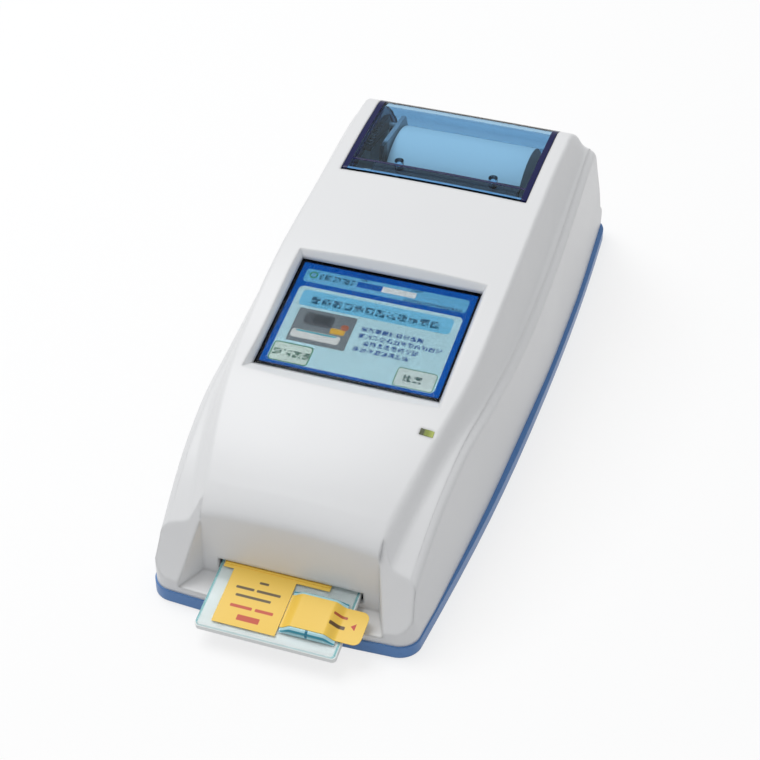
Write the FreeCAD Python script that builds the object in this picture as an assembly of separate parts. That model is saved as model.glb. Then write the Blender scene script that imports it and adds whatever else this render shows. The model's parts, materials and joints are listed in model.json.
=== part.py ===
import FreeCAD, Part
import math
import os

# Bench-top blood gas analyzer: a card reader in front, a touch screen, and a receipt
# printer under a hinged clear lid. Millimetres, X across, Y to the back, Z up.
# The origin is on the bench, under the middle of the whole object's length.

# Casing
body_length = 293.0
base_half_width = 57.4
top_edge_height = 86.0
seam_height = 5.9
foot_lift = 0.8
wall = 2.4
rear_slope_deg = 55.0
rear_seam_inset = 1.3
ridge_blend = 4.0
overrun = 20.0

# Casing sections: shares of the body length, the base half width and the top edge height
station_shares = (-0.0273, 0.0478, 0.1229, 0.2116, 0.3027, 0.4328, 0.587, 0.6997, 0.7986, 1.0)
top_edge_x_shares = (0.497, 0.585, 0.671, 0.756, 0.812, 0.833, 0.821, 0.812, 0.808, 0.767)
top_edge_z_shares = (0.302, 0.455, 0.598, 0.706, 0.763, 0.865, 0.941, 0.986, 1.006, 1.01)
shoulder_x_shares = (0.836, 0.857, 0.88, 0.909, 0.941, 0.976, 0.981, 0.963, 0.943, 0.889)
shoulder_z_shares = (0.192, 0.358, 0.51, 0.601, 0.607, 0.627, 0.712, 0.784, 0.848, 0.919)
seam_x_shares = (0.894, 0.906, 0.922, 0.941, 0.955, 0.962, 0.967, 0.953, 0.934, 0.864)
base_x_shares = (0.83, 0.9, 0.937, 0.966, 0.987, 1.0, 0.997, 0.984, 0.966, 0.9)
section_shares = (-0.03, 0.02, 0.07, 0.12, 0.17, 0.22, 0.28, 0.34, 0.41, 0.48, 0.55, 0.62, 0.68,
                  0.73, 0.765, 0.79, 0.81, 0.83, 0.855, 0.89, 0.93, 0.96, 0.982)
crown_shares = (0, 0.3, 0.6, 0.85)
crown_rises = (2.4, 2.4, 2.4, 2.3, 2.0, 1.5, 1.0, 0.7, 0.5, 0.5)
valley_x_share = 0.3
valley_z_share = 0.24
edge_soft = 3.2
shoulder_radius = 2.6
front_bulge = 1.4
front_inset = 0.6
corner_station = 2.4
corner_half_width = 43.3
corner_radius = 8.6
rear_corner_radius = 12.0
lip_rise = 2.5
lip_thickness = 1.6
floor_thickness = 2.4

# Clearances
gap = 0.3
slack = 0.1
fit_gap = 0.05

# Front recess and card slot
recess_depth = 14.6
recess_half_width = 34.4
recess_flare = 6.4
recess_floor_height = 9.0
rim_reach = 10.0
rim_drop = 4.0
rim_spots = 5
nose_stations = (0.6, 1.7, 3.9, 7.0, 10.0, 14.6, 20.0, 26.0, 34.0)
nose_heights = (5.0, 9.0, 13.0, 18.5, 24.5, 33.5, 43.5, 54.0, 67.0)
slot_half_width = 28.2
slot_bottom_height = 11.3
slot_height = 5.1

# Sensor card
card_length = 85.6
card_width = 54.0
card_base_thickness = 2.1
card_cover_thickness = 0.9
card_cover_inset = 0.35
card_corner_radius = 1.6
card_tilt_deg = 12.3
card_reach = 27.4
card_mouth_height = 12.35
label_thickness = 0.15
label_left_margin = 5.8
label_width = 24.4
label_front_margin = 3.0
label_strip_width = 37.2
label_strip_length = 1.3
label_strip_tuck = 2.4
label_strip_overhang = 4.2
label_rib_height = 0.5
label_rib_length = 0.7
inlet_x = 14.3
inlet_reach = 14.1
inlet_length = 18.0
inlet_width = 21.0
inlet_height = 2.6
arch_top_share = 0.57
peel_width = 14.0
peel_overhang = 6.6
peel_thickness = 0.3
contact_strip_length = 5.0
contact_pitch = 2.5
contact_count = 12

# Card reader
guide_floor = 2.0
guide_side = 2.2
guide_rise = 3.9
guide_start = 3.4
guide_length = 60.0
guide_leg = 3.0
guide_leg_width = 9.0
heater_length = 26.0
heater_width = 38.0
heater_flange = 4.0
heater_thickness = 2.6
heater_start = 22.0
reader_block_length = 10.0
reader_block_height = 6.0
reader_block_width = 46.0
pin_radius = 0.45
press_reach = 32.0
press_deck_height = 15.5
press_deck_thickness = 1.6
press_deck_length = 18.0
press_motor_radius = 7.0
press_motor_height = 9.5
press_screw_radius = 1.6
press_travel = 1.2
plunger_radius = 4.2
plunger_length = 7.6
plunger_lift = 1.5
plunger_flat = 3.4

# Screen
screen_station = 103.5
screen_height = 65.4
screen_tilt_deg = 12.3
window_half_width = 36.8
window_top = 26.9
window_bottom = 28.4
window_side_flare = 0.55
window_top_flare = 0.8
window_bottom_flare = 1.5
window_radius = 1.2
window_depth = 12.0
window_wall = 2.4
module_width = 78.0
module_height = 64.0
module_thickness = 3.4
glass_thickness = 1.1
bracket_width = 66.0
bracket_height = 77.0
bracket_thickness = 1.5
bracket_post_x = 29.0
bracket_post_y = 35.6
screen_board_post_shares = (0.42, 0.4)
post_radius = 2.4
screen_board_width = 62.0
screen_board_height = 52.0
screen_board_drop = 4.0
board_thickness = 1.6
light_station = 57.8
light_x = 37.7
light_width = 5.2
light_length = 2.6
light_depth = 5.0
light_board_width = 12.4
light_board_length = 6.4
light_post_offset = 4.6
light_post_radius = 1.8
led_size = 2.2
led_height = 1.4

# Printer: shared axis lines, as stations and heights
printer_x = 2.0
lid_front_station = 181.0
lid_half_width = 39.6
paper_slit = 1.2
lid_skin = 2.0
fin_thickness = 2.2
fin_depth = 8.0
hinge_station = 251.0
hinge_depth = 3.5
hinge_edge_gap = 2.9
hinge_pin_radius = 1.5
hinge_pin_length = 5.6
ear_thickness = 2.6
ear_radius = 4.6
platen_station = 190.5
platen_height = 70.5
platen_radius = 5.0
platen_length = 57.0
platen_shaft_radius = 2.0
holder_half_width = 31.2
holder_thickness = 1.7
holder_front = 3.9
holder_depth = 10.4
holder_top = 78.2
cheek_reach = 4.4
bearing_radius = 3.0
boss_spacing = 40.4
boss_station = 193.6
boss_radius = 1.9
boss_bore = 1.0
holder_screw_radius = 0.95
holder_screw_head = 1.8
roll_station = 219.0
roll_height = 55.0
roll_radius = 24.0
roll_width = 58.0
core_radius = 8.6
core_wall = 2.2
tub_wall = 2.0
cheek_gap = 0.8
cheek_thickness = 1.8
frame_floor_height = 27.0
frame_rear = 25.0
motor_flange_station = 155.0
notch_front = 6.0
notch_rear = 9.6
notch_height = 62.0
left_cheek_height = 82.0
right_cheek_height = 60.0
head_wall_station = 173.0
head_wall_height = 76.0
frame_post_radius = 3.0
frame_post_x = 24.0
frame_post_front = 199.5
frame_post_rear = 250.0
head_face_gap = 0.3
head_thickness = 5.0
head_height = 13.0
head_pivot_drop = 8.5
head_pivot_radius = 1.5
head_length = 58.6
head_spring_spacing = 30.0
head_spring_radius = 2.2
head_spring_wire = 0.7
head_spring_height = 71.5
tear_bar_thickness = 0.5
tear_tooth_pitch = 1.5
tear_tooth_height = 1.0
gear_module = 0.5
platen_teeth = 22
idler_teeth = 36
pinion_teeth = 12
gear_width = 2.8
gear_side_gap = 1.0
gear_play = 0.05
tooth_top_share = 0.26
tooth_root_share = 0.572
tooth_depth_shares = (1.2, 0.9)
idler_angle_deg = 215.0
pinion_angle_deg = 200.0
idler_pin_radius = 1.5
motor_shaft_radius = 1.0
motor_radius = 10.0
motor_length = 15.0
motor_bore_depth = 5.0
lever_thickness = 2.4
lever_gap = 0.6
lever_length = 25.0
lever_height = 4.0
lever_pivot_station = 228.0
lever_pivot_height = 76.6
lever_pin_radius = 1.2
lever_rise = 3.4
rib_count = 9
rib_pitch = 2.2
rib_height = 0.5
sensor_size = 6.0
sensor_thickness = 2.0

# Main board, battery and sound
board_station = 84.0
board_length = 112.0
board_half_width = 45.0
board_height = 8.0
board_hole_inset = 5.0
board_screw_radius = 1.4
board_screw_head = 2.7
board_screw_head_height = 1.6
chip_sizes = ((16.0, 16.0, 1.6), (12.0, 18.0, 1.4), (20.0, 12.0, 2.0), (10.0, 10.0, 1.2))
chip_place_shares = ((-0.5, 0.2), (0.35, 0.25), (-0.1, 0.55), (0.5, 0.7))
buzzer_radius = 6.0
buzzer_height = 7.5
buzzer_x = 30.0
buzzer_reach = 18.0
battery_station = 206.0
battery_length = 38.0
battery_half_width = 35.0
battery_height = 19.4
battery_floor_gap = 1.6
cell_radius = 9.2
battery_plug_width = 16.0
battery_plug_height = 6.0
door_margin = 2.0
door_ledge = 2.2
door_thickness = 1.4
door_clip_width = 8.0
door_clip_thickness = 0.9
door_clip_hook = 0.9
vent_count = 6
vent_pitch = 6.0
vent_width = 2.4
vent_length = 34.0
vent_station = 120.0

# Screws and feet of the casing
boss_front_x = 43.0
boss_front_station = 31.0
boss_rear_x = 40.0
boss_rear_station = 262.0
casing_boss_radius = 3.6
casing_tower_radius = 4.2
casing_screw_radius = 1.5
casing_screw_head = 3.0
casing_screw_head_height = 2.0
casing_screw_length = 16.0
foot_radius = 6.0
foot_thickness = 1.8
foot_x = 42.0
foot_front_station = 16.0
foot_rear_station = 276.0

# Rear sockets: across the back, down the slope, and out of it
rear_panel_drop = 22.0
rear_panel_reach = 48.0
tail_reach = 5.8
rear_board_width = 72.0
rear_board_height = 24.0
rear_board_inset = 13.0
rear_post_radius = 2.6
jack_x = 26.0
jack_size = 10.0
jack_bore_radius = 3.0
jack_pin_radius = 1.0
usb_x = 9.0
usb_width = 14.4
usb_height = 6.6
usb_wall = 0.6
lan_x = -8.5
lan_size = 15.0
lan_wall = 1.4
port_depth = 8.0
switch_x = -27.0
switch_width = 11.0
switch_height = 16.0
switch_rim = 1.4
switch_body_depth = 9.0
rocker_swing_deg = 14.0
rocker_pin_radius = 0.9
rocker_thickness = 3.4
rocker_rise = 0.8
port_gap = 0.2

# Everything along the length is measured from the front of the body
card_overhang = card_reach * math.cos(math.radians(card_tilt_deg)) - recess_depth
front_y = (card_overhang - body_length) / 2


def vec(x, y, z):
    return FreeCAD.Vector(x, y, z)


def at(station):
    return front_y + station


ACROSS = vec(1, 0, 0)
BACK = vec(0, 1, 0)
UP = vec(0, 0, 1)
ZERO = vec(0, 0, 0)


def block(x0, x1, y0, y1, z0, z1):
    return Part.makeBox(x1 - x0, y1 - y0, z1 - z0, vec(x0, y0, z0))


def rod(radius, start, direction, length):
    return Part.makeCylinder(radius, length, start, direction)


def cross_rod(radius, x0, x1, station, height):
    """Round bar along X at a station and height."""
    return rod(radius, vec(x0, at(station), height), ACROSS, x1 - x0)


def post(radius, x, y, z0, z1):
    return rod(radius, vec(x, y, z0), UP, z1 - z0)


def fuse(shapes):
    return shapes[0].multiFuse(shapes[1:]).removeSplitter()


def group(shapes):
    return Part.makeCompound(shapes)


def plate(points, x0, x1):
    """Flat plate from x0 to x1 whose outline is given as stations and heights."""
    corners = [vec(x0, at(s), h) for s, h in points]
    outline = Part.Face(Part.makePolygon(corners + corners[:1]))
    return outline.extrude(vec(x1 - x0, 0, 0))


def rounded_slab(width, length, z0, z1, radius):
    """Upright slab, centred on X and Y, with round corners seen from above."""
    slab = block(-width / 2, width / 2, -length / 2, length / 2, z0, z1)
    corners = [e for e in slab.Edges if abs(e.tangentAt(e.FirstParameter).z) > 0.9]
    return slab.makeFillet(radius, corners)


def tilted(shape, degrees, station, height):
    """Turn a shape about the X axis and carry its origin to a station and height."""
    placed = shape.copy()
    placed.rotate(ZERO, ACROSS, degrees)
    placed.translate(vec(0, at(station), height))
    return placed


def on_card(shape):
    """From the card's frame: y runs into the reader, z off the card, from the slot's mouth."""
    return tilted(shape, card_tilt_deg, recess_depth, card_mouth_height)


def on_screen(shape):
    """From the screen's frame: z leaves the middle of the picture."""
    return tilted(shape, screen_tilt_deg, screen_station, screen_height)


def on_rear(shape):
    """From the socket panel's frame: y runs down the slope, z leaves it."""
    drop = math.radians(rear_slope_deg)
    station = body_length - rear_seam_inset - rear_panel_drop * math.cos(drop)
    return tilted(shape, -rear_slope_deg, station, seam_height + rear_panel_drop * math.sin(drop))


def save(shape, name):
    shape.exportStep("parts/" + name + ".step")


# Casing surface
def along(shares, station):
    """Smooth value of a row of shares at a distance from the front of the body."""
    share = station / body_length
    last = len(station_shares) - 2
    i = 0
    while i < last and share > station_shares[i + 1]:
        i += 1
    slopes = []
    for k in (i, i + 1):
        low = max(k - 1, 0)
        high = min(k + 1, last + 1)
        slopes.append((shares[high] - shares[low]) / (station_shares[high] - station_shares[low]))
    span = station_shares[i + 1] - station_shares[i]
    t = (share - station_shares[i]) / span
    rest = 1 - t
    ends = shares[i] * (1 + 2 * t) * rest * rest + shares[i + 1] * (3 - 2 * t) * t * t
    return ends + slopes[0] * span * t * rest * rest - slopes[1] * span * t * t * rest


def rear_plane(station, inset):
    slope = math.radians(rear_slope_deg)
    rise = (body_length - rear_seam_inset - station) * math.tan(slope)
    return seam_height + rise - inset / math.cos(slope)


def soft_min(a, b):
    return (a + b - math.sqrt((a - b) ** 2 + ridge_blend ** 2)) / 2


def top_profile(station, inset):
    """Corners of the top at one station, from the middle out: x and z."""
    top_x = along(top_edge_x_shares, station) * base_half_width - inset
    top_z = along(top_edge_z_shares, station) * top_edge_height - inset
    edge_x = along(shoulder_x_shares, station) * base_half_width - inset
    edge_z = along(shoulder_z_shares, station) * top_edge_height - inset
    valley_x = top_x + (edge_x - top_x) * valley_x_share
    valley_z = edge_z + (top_z - edge_z) * valley_z_share
    return (top_x, top_z), (valley_x, valley_z), (edge_x, edge_z)


def top_height(station, x, inset):
    """Height of the top surface, with its corners softened."""
    (top_x, top_z), (valley_x, valley_z), (edge_x, edge_z) = top_profile(station, inset)
    total = 0.0
    samples = 9
    for k in range(samples):
        spot = abs(x + (k / (samples - 1) - 0.5) * edge_soft)
        if spot <= top_x:
            total += top_z + along(crown_rises, station) * (1 - (spot / top_x) ** 2)
        elif spot <= valley_x:
            total += top_z + (valley_z - top_z) * (spot - top_x) / (valley_x - top_x)
        else:
            total += valley_z + (edge_z - valley_z) * (spot - valley_x) / (edge_x - valley_x)
    return soft_min(total / samples, rear_plane(station, inset))


def seam_half_width(station):
    return along(seam_x_shares, station) * base_half_width


def top_points(station, inset):
    """Points over the top at one station, from the left side to the right."""
    (top_x, top_z), (valley_x, valley_z), (edge_x, edge_z) = top_profile(station, inset)
    seam_x = seam_half_width(station) - inset
    end_z = soft_min(edge_z, rear_plane(station, inset))
    side_x = seam_x + (edge_x - seam_x) * (end_z - seam_height) / (edge_z - seam_height)
    draw_in = side_x / edge_x
    round_x = side_x - shoulder_radius
    half = edge_soft / 2
    top_x *= draw_in
    valley_x *= draw_in
    spots = [top_x * share for share in crown_shares]
    spots += [top_x - half, top_x - half / 2, top_x, top_x + half / 2]
    spots += [valley_x, valley_x + half / 2, valley_x + half, (valley_x + half + round_x) / 2, round_x]
    points = [(spot, top_height(station, spot / draw_in, inset)) for spot in spots]
    for turn in (30, 60, 90):
        lean = math.radians(turn)
        points.append((round_x + shoulder_radius * math.sin(lean),
                       end_z - shoulder_radius * (1 - math.cos(lean))))
    left = [vec(-x, at(station), z) for x, z in reversed(points)]
    right = [vec(x, at(station), z) for x, z in points[1:]]
    return left + right


def pace(points):
    """Shares of the way along a row of points."""
    steps = [0.0]
    for a, b in zip(points, points[1:]):
        steps.append(steps[-1] + a.distanceToPoint(b))
    return [step / steps[-1] for step in steps]


def stretches():
    """Index pairs that split the points over the top into faces."""
    middle = len(crown_shares) + 11
    knots = [middle - k for k in (15, 12, 10, 8, 4)] + [middle + k for k in (4, 8, 10, 12, 15)]
    return list(zip(knots, knots[1:]))


def body_section(station, inset, floor, paces):
    """Closed outline across the body at one station."""
    row = top_points(station, inset)
    edges = []
    for (first, last), steps in zip(stretches(), paces):
        curve = Part.BSplineCurve()
        curve.interpolate(Points=row[first:last + 1], Parameters=steps)
        edges.append(curve.toShape())
    seam_x = seam_half_width(station) - inset
    low_left = vec(-seam_x, at(station), floor)
    low_right = vec(seam_x, at(station), floor)
    edges = [Part.makeLine(low_left, row[0])] + edges
    edges += [Part.makeLine(row[-1], low_right), Part.makeLine(low_right, low_left)]
    return Part.Wire(edges)


def body_loft(inset, floor, shares):
    """Solid under the casing's surface, moved inwards by the inset."""
    row = top_points(body_length / 2, inset)
    paces = [pace(row[first:last + 1]) for first, last in stretches()]
    wires = [body_section(share * body_length, inset, floor, paces) for share in shares]
    return Part.makeLoft(wires, True, False)


def plan_prism(side_shares, inset, z0, z1):
    """Upright solid over the plan of the body, with its corners and bulging ends."""
    def arc(a, b, c):
        return Part.Arc(a, b, c).toShape()

    def spot(x, station):
        return vec(x, at(station), z0)

    front = corner_station + inset
    radius = corner_radius - inset
    middle_x = corner_half_width
    slant = math.radians(45)
    side_start = front + radius
    start_x = middle_x + radius
    rear = body_length - inset
    rear_radius = rear_corner_radius - inset
    rear_start = rear - rear_radius
    rear_x = along(side_shares, rear_start) * base_half_width - inset
    stations = [side_start + (rear_start - side_start) * k / 8 for k in range(1, 8)]
    side = [(start_x, side_start)]
    side += [(along(side_shares, s) * base_half_width - inset, s) for s in stations]
    side += [(rear_x, rear_start)]
    edges = []
    for sign in (-1, 1):
        curve = Part.BSplineCurve()
        curve.interpolate([spot(sign * x, s) for x, s in side])
        edges.append(curve.toShape())
        edges.append(arc(spot(sign * middle_x, front),
                         spot(sign * (middle_x + radius * math.sin(slant)),
                              front + radius * (1 - math.cos(slant))),
                         spot(sign * start_x, side_start)))
        edges.append(arc(spot(sign * rear_x, rear_start),
                         spot(sign * (rear_x - rear_radius * (1 - math.cos(slant))),
                              rear_start + rear_radius * math.sin(slant)),
                         spot(sign * (rear_x - rear_radius), rear)))
    edges.append(arc(spot(-middle_x, front), spot(0, front - front_bulge), spot(middle_x, front)))
    edges.append(Part.makeLine(spot(rear_radius - rear_x, rear), spot(rear_x - rear_radius, rear)))
    outline = Part.Wire(Part.__sortEdges__(edges))
    return Part.Face(outline).extrude(vec(0, 0, z1 - z0))


# Casing
def recess_prism(grow):
    """The open bay in front of the card slot, grown by a wall."""
    back = recess_depth + grow
    front = -overrun
    spread = recess_flare * (recess_depth + overrun) / recess_depth
    half = recess_half_width + grow
    corners = [(-half, back), (half, back), (half + spread, front), (-half - spread, front)]
    corners = [vec(x, at(s), recess_floor_height - grow) for x, s in corners]
    return Part.Face(Part.makePolygon(corners + corners[:1])).extrude(vec(0, 0, top_edge_height))


def nose_block(inset):
    """Everything behind the rounded noses beside the bay, and all of the middle between them."""
    spots = [vec(-base_half_width, at(s + inset), h) for s, h in zip(nose_stations, nose_heights)]
    curve = Part.BSplineCurve()
    curve.interpolate(spots)
    corners = [spots[-1], vec(-base_half_width, at(nose_stations[-1] + inset), top_edge_height * 2),
               vec(-base_half_width, at(body_length * 2), top_edge_height * 2),
               vec(-base_half_width, at(body_length * 2), -overrun),
               vec(-base_half_width, at(nose_stations[0] + inset), -overrun), spots[0]]
    edges = [curve.toShape()] + [Part.makeLine(a, b) for a, b in zip(corners, corners[1:])]
    noses = Part.Face(Part.Wire(edges)).extrude(vec(base_half_width * 2, 0, 0))
    half = recess_half_width - inset
    middle = block(-half, half, at(recess_depth - overrun), at(nose_stations[-1]), 0, top_edge_height * 2)
    return noses.fuse(middle)


def rim_roll():
    """The corner taken off where the top rolls over into the bay, following its crown."""
    wires = []
    touch = recess_depth + rim_reach
    for k in range(rim_spots):
        x = recess_half_width * (2 * k / (rim_spots - 1) - 1)
        slope = (top_height(touch + wall, x, 0.0) - top_height(touch - wall, x, 0.0)) / (wall * 2)
        end = top_height(touch, x, 0.0) + slack / 2
        corner = end - slope * rim_reach
        far = end + slope * rim_reach
        top = far + overrun
        spots = [vec(x, at(s), h) for s, h in ((recess_depth, corner - rim_drop), (recess_depth, corner),
                                                (touch, end), (touch + rim_reach, far), (touch + rim_reach, top),
                                                (recess_depth - wall, top), (recess_depth - wall, corner - rim_drop))]
        roll = Part.BezierCurve()
        roll.setPoles(spots[:3])
        edges = [roll.toShape()] + [Part.makeLine(a, b) for a, b in zip(spots[2:], spots[3:] + spots[:1])]
        wires.append(Part.Wire(edges))
    return Part.makeLoft(wires, True, False)


def window_ring(grow, z):
    """Outline of the window at one height over the back of the glass."""
    rise = max(z - glass_thickness, 0.0)
    half_x = window_half_width + window_side_flare * rise + grow
    low_y = -window_bottom - window_bottom_flare * rise - grow
    high_y = window_top + window_top_flare * rise + grow
    corners = [vec(-half_x, low_y, z), vec(half_x, low_y, z), vec(half_x, high_y, z), vec(-half_x, high_y, z)]
    return Part.makePolygon(corners + corners[:1])


def window_cut(grow, z0, z1):
    """Hole over the picture, upright beside the glass and opening out above it, in the screen's frame."""
    start = max(z0, glass_thickness)
    hole = Part.makeLoft([window_ring(grow, start), window_ring(grow, z1)], True, True)
    if z0 < start:
        hole = hole.fuse(Part.makeLoft([window_ring(grow, z0), window_ring(grow, start)], True, True))
    return hole


def hinge_axis():
    """Station and height of the printer lid's hinge line."""
    slope = math.radians(rear_slope_deg)
    height = rear_plane(hinge_station, 0.0)
    return hinge_station - hinge_depth * math.sin(slope), height - hinge_depth * math.cos(slope)


def lid_space(side_gap, front_gap, rear_reach):
    """Upright block over the printer, closed at its rear by the slope's normal at the hinge."""
    station, height = hinge_axis()
    slope = math.radians(rear_slope_deg)
    half = lid_half_width - side_gap
    far = overrun * 2
    foot = (station + rear_reach * math.cos(slope), height - rear_reach * math.sin(slope))
    out = (foot[0] + far * math.sin(slope), foot[1] + far * math.cos(slope))
    front = lid_front_station + front_gap
    points = [(front, height), foot, out, (out[0], top_edge_height + far), (front, top_edge_height + far)]
    return plate(points, -half, half)


def below_slope(start, inset):
    """Everything under the socket panel's plane from a station to the back."""
    return plate([(start, -overrun), (start, rear_plane(start, inset)),
                  (body_length, rear_plane(body_length, inset)), (body_length, -overrun)],
                 -base_half_width, base_half_width)


def inner_space(inset):
    """Space inside a skin of the casing, down the slope to the base."""
    ahead = body_loft(inset, 0.0, section_shares[:-4])
    ahead = ahead.common(below_slope(-overrun, inset))
    behind = below_slope(body_length - rear_panel_reach, inset)
    return ahead.fuse(behind.common(plan_prism(seam_x_shares, inset, 0, top_edge_height)))


def rear_holes(grow):
    """Openings of the sockets and the switch in the slope, in the panel's frame."""
    half_jack = jack_size / 2 + grow
    depth = rear_board_inset
    holes = [block(jack_x - half_jack, jack_x + half_jack, -half_jack, half_jack, -depth, depth)]
    half_x = usb_width / 2 + grow
    half_y = usb_height / 2 + grow
    holes.append(block(usb_x - half_x, usb_x + half_x, -half_y, half_y, -depth, depth))
    half_lan = lan_size / 2 + grow
    holes.append(block(lan_x - half_lan, lan_x + half_lan, -half_lan, half_lan, -depth, depth))
    half_x = switch_width / 2 + grow
    half_y = switch_height / 2 + grow
    holes.append(block(switch_x - half_x, switch_x + half_x, -half_y, half_y, -depth, depth))
    return group(holes)


def casing_screw_spots():
    rows = ((boss_front_x, boss_front_station), (boss_rear_x, boss_rear_station))
    return [(sign * x, s) for x, s in rows for sign in (-1, 1)]


def light_height():
    return top_height(light_station, light_x, 0.0)


os.makedirs("parts", exist_ok=True)
print("casing")
outer = body_loft(0.0, seam_height, section_shares)
tail = below_slope(body_length - tail_reach, 0.0)
outer = outer.fuse(tail.common(plan_prism(seam_x_shares, 0.0, seam_height, top_edge_height)))
outer = outer.common(plan_prism(base_x_shares, front_inset, 0, top_edge_height * 2)).common(nose_block(0.0))
hollow = inner_space(wall)
hollow = hollow.common(plan_prism(base_x_shares, front_inset + wall, 0, top_edge_height * 2))
hollow = hollow.common(nose_block(wall))
hollow = hollow.cut(recess_prism(wall))
hinge_s, hinge_z = hinge_axis()
shell = outer.cut(hollow).cut(recess_prism(0.0)).cut(rim_roll())

ears = []
for side in (-1, 1):
    inner_x = lid_half_width + gap
    x0 = inner_x if side > 0 else -inner_x - ear_thickness
    ears.append(cross_rod(ear_radius, x0, x0 + ear_thickness, hinge_s, hinge_z))
    reach = ear_radius * 2
    ears.append(plate([(hinge_s, hinge_z - ear_radius), (hinge_s + reach, hinge_z - ear_radius),
                       (hinge_s + reach, hinge_z + ear_radius), (hinge_s, hinge_z + ear_radius)],
                      x0, x0 + ear_thickness))
surround = window_cut(window_wall, glass_thickness, window_depth)
posts = []
bracket_top = -module_thickness
for sx in (-1, 1):
    for sy in (-1, 1):
        foot = vec(sx * bracket_post_x, sy * bracket_post_y, bracket_top)
        posts.append(rod(post_radius, foot, UP, window_depth))
rear_post_x = rear_board_width / 2 - rear_post_radius
rear_posts = [rod(rear_post_radius, vec(sx * rear_post_x, 0, -rear_board_inset), UP, rear_board_inset)
              for sx in (-1, 1)]
bosses = [post(casing_boss_radius, x, at(s), seam_height + lip_rise, top_edge_height)
          for x, s in casing_screw_spots()]
light_top = light_height()
light_post = post(light_post_radius, light_x - light_post_offset - light_width / 2, at(light_station),
                  light_top - light_depth, light_top)
inside = [on_screen(surround), light_post] + ears + bosses
inside += [on_screen(p) for p in posts] + [on_rear(p) for p in rear_posts]
ribs = [shape.common(outer) for shape in inside]
shell = shell.multiFuse(ribs)

slot = block(-slot_half_width, slot_half_width, at(-overrun), at(recess_depth + wall + overrun / 4),
             slot_bottom_height, slot_bottom_height + slot_height)
slot = slot.cut(block(-base_half_width, base_half_width, at(-overrun), at(0), 0, top_edge_height))
light_hole = block(light_x - light_width / 2, light_x + light_width / 2,
                   at(light_station - light_length / 2), at(light_station + light_length / 2),
                   light_top - light_depth * 2, light_top + light_depth)
window = on_screen(window_cut(0.0, -glass_thickness, window_depth))
cuts = [window, slot, light_hole, on_rear(rear_holes(port_gap))]
cuts.append(lid_space(0.0, 0.0, 0.0))
cuts.append(cross_rod(hinge_depth + gap * 2, -lid_half_width, lid_half_width, hinge_s, hinge_z))
edge_space = lid_space(0.0, 0.0, hinge_edge_gap)
edge_space = edge_space.cut(cross_rod(hinge_depth - fit_gap, -base_half_width, base_half_width, hinge_s, hinge_z))
cuts.append(edge_space.common(block(-lid_half_width, lid_half_width, at(hinge_s - overrun), at(body_length),
                                    0, hinge_z + hinge_depth * 2)))
cuts.append(cross_rod(hinge_pin_radius, -base_half_width, base_half_width, hinge_s, hinge_z).common(
    block(-lid_half_width - hinge_pin_length, lid_half_width + hinge_pin_length, at(0), at(body_length), 0,
          top_edge_height)))
cuts += [post(casing_screw_radius - fit_gap, x, at(s), 0, seam_height + casing_screw_length)
         for x, s in casing_screw_spots()]
upper = shell.cut(group(cuts))
upper = max(upper.Solids, key=lambda solid: solid.Volume)
save(upper, "upper_casing")

print("base")
pan = plan_prism(base_x_shares, 0.0, foot_lift, seam_height)
pan = pan.cut(plan_prism(seam_x_shares, wall + slack, foot_lift + floor_thickness, top_edge_height))
lip_inset = wall + gap * 2 + front_inset
lip = plan_prism(seam_x_shares, lip_inset, foot_lift + floor_thickness, seam_height + lip_rise)
lip = lip.cut(plan_prism(seam_x_shares, lip_inset + lip_thickness, 0, top_edge_height))
lip = lip.cut(recess_prism(wall + gap))
lip = lip.cut(block(-base_half_width, base_half_width, at(boss_rear_station), at(body_length), 0, top_edge_height))
floor_top = foot_lift + floor_thickness
towers = [post(casing_tower_radius, x, at(s), floor_top, seam_height + lip_rise) for x, s in casing_screw_spots()]
board_spots = [(sx * (board_half_width - board_hole_inset), board_station + board_length / 2
                + sy * (board_length / 2 - board_hole_inset)) for sx in (-1, 1) for sy in (-1, 1)]
stands = [post(board_screw_radius * 2, x, at(s), floor_top, board_height) for x, s in board_spots]
lower = pan.multiFuse([lip] + towers + stands)
door_half_x = battery_half_width + door_margin
door_s0 = battery_station - door_margin
door_s1 = battery_station + battery_length + door_margin
door_hole = block(-door_half_x, door_half_x, at(door_s0), at(door_s1), 0, foot_lift + door_thickness)
bay_hole = block(door_ledge - door_half_x, door_half_x - door_ledge, at(door_s0 + door_ledge),
                 at(door_s1 - door_ledge), 0, floor_top)
foot_spots = [(sx * foot_x, s) for s in (foot_front_station, foot_rear_station) for sx in (-1, 1)]
cuts = [door_hole, bay_hole]
cuts += [post(foot_radius, x, at(s), 0, foot_thickness) for x, s in foot_spots]
head_top = foot_lift + slack + casing_screw_head_height
cuts += [post(casing_screw_head + slack, x, at(s), 0, head_top) for x, s in casing_screw_spots()]
cuts += [post(casing_screw_radius + slack, x, at(s), 0, top_edge_height) for x, s in casing_screw_spots()]
cuts += [post(board_screw_radius - fit_gap, x, at(s), floor_top, board_height) for x, s in board_spots]
vent_x = -(vent_count - 1) * vent_pitch / 2
cuts += [block(vent_x + k * vent_pitch - vent_width / 2, vent_x + k * vent_pitch + vent_width / 2,
               at(vent_station), at(vent_station + vent_length), 0, floor_top) for k in range(vent_count)]
lower = lower.cut(group(cuts))
save(lower, "lower_casing")
save(group([post(foot_radius - slack, x, at(s), 0, foot_thickness) for x, s in foot_spots]), "rubber_feet")
screws = []
for x, s in casing_screw_spots():
    head = post(casing_screw_head, x, at(s), foot_lift + slack, head_top)
    screws.append(head.fuse(post(casing_screw_radius - fit_gap, x, at(s), head_top,
                                 head_top + casing_screw_length - casing_screw_head)))
save(group(screws), "casing_screws")
door = block(slack - door_half_x, door_half_x - slack, at(door_s0 + slack), at(door_s1 - slack),
             foot_lift, foot_lift + door_thickness)
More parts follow.
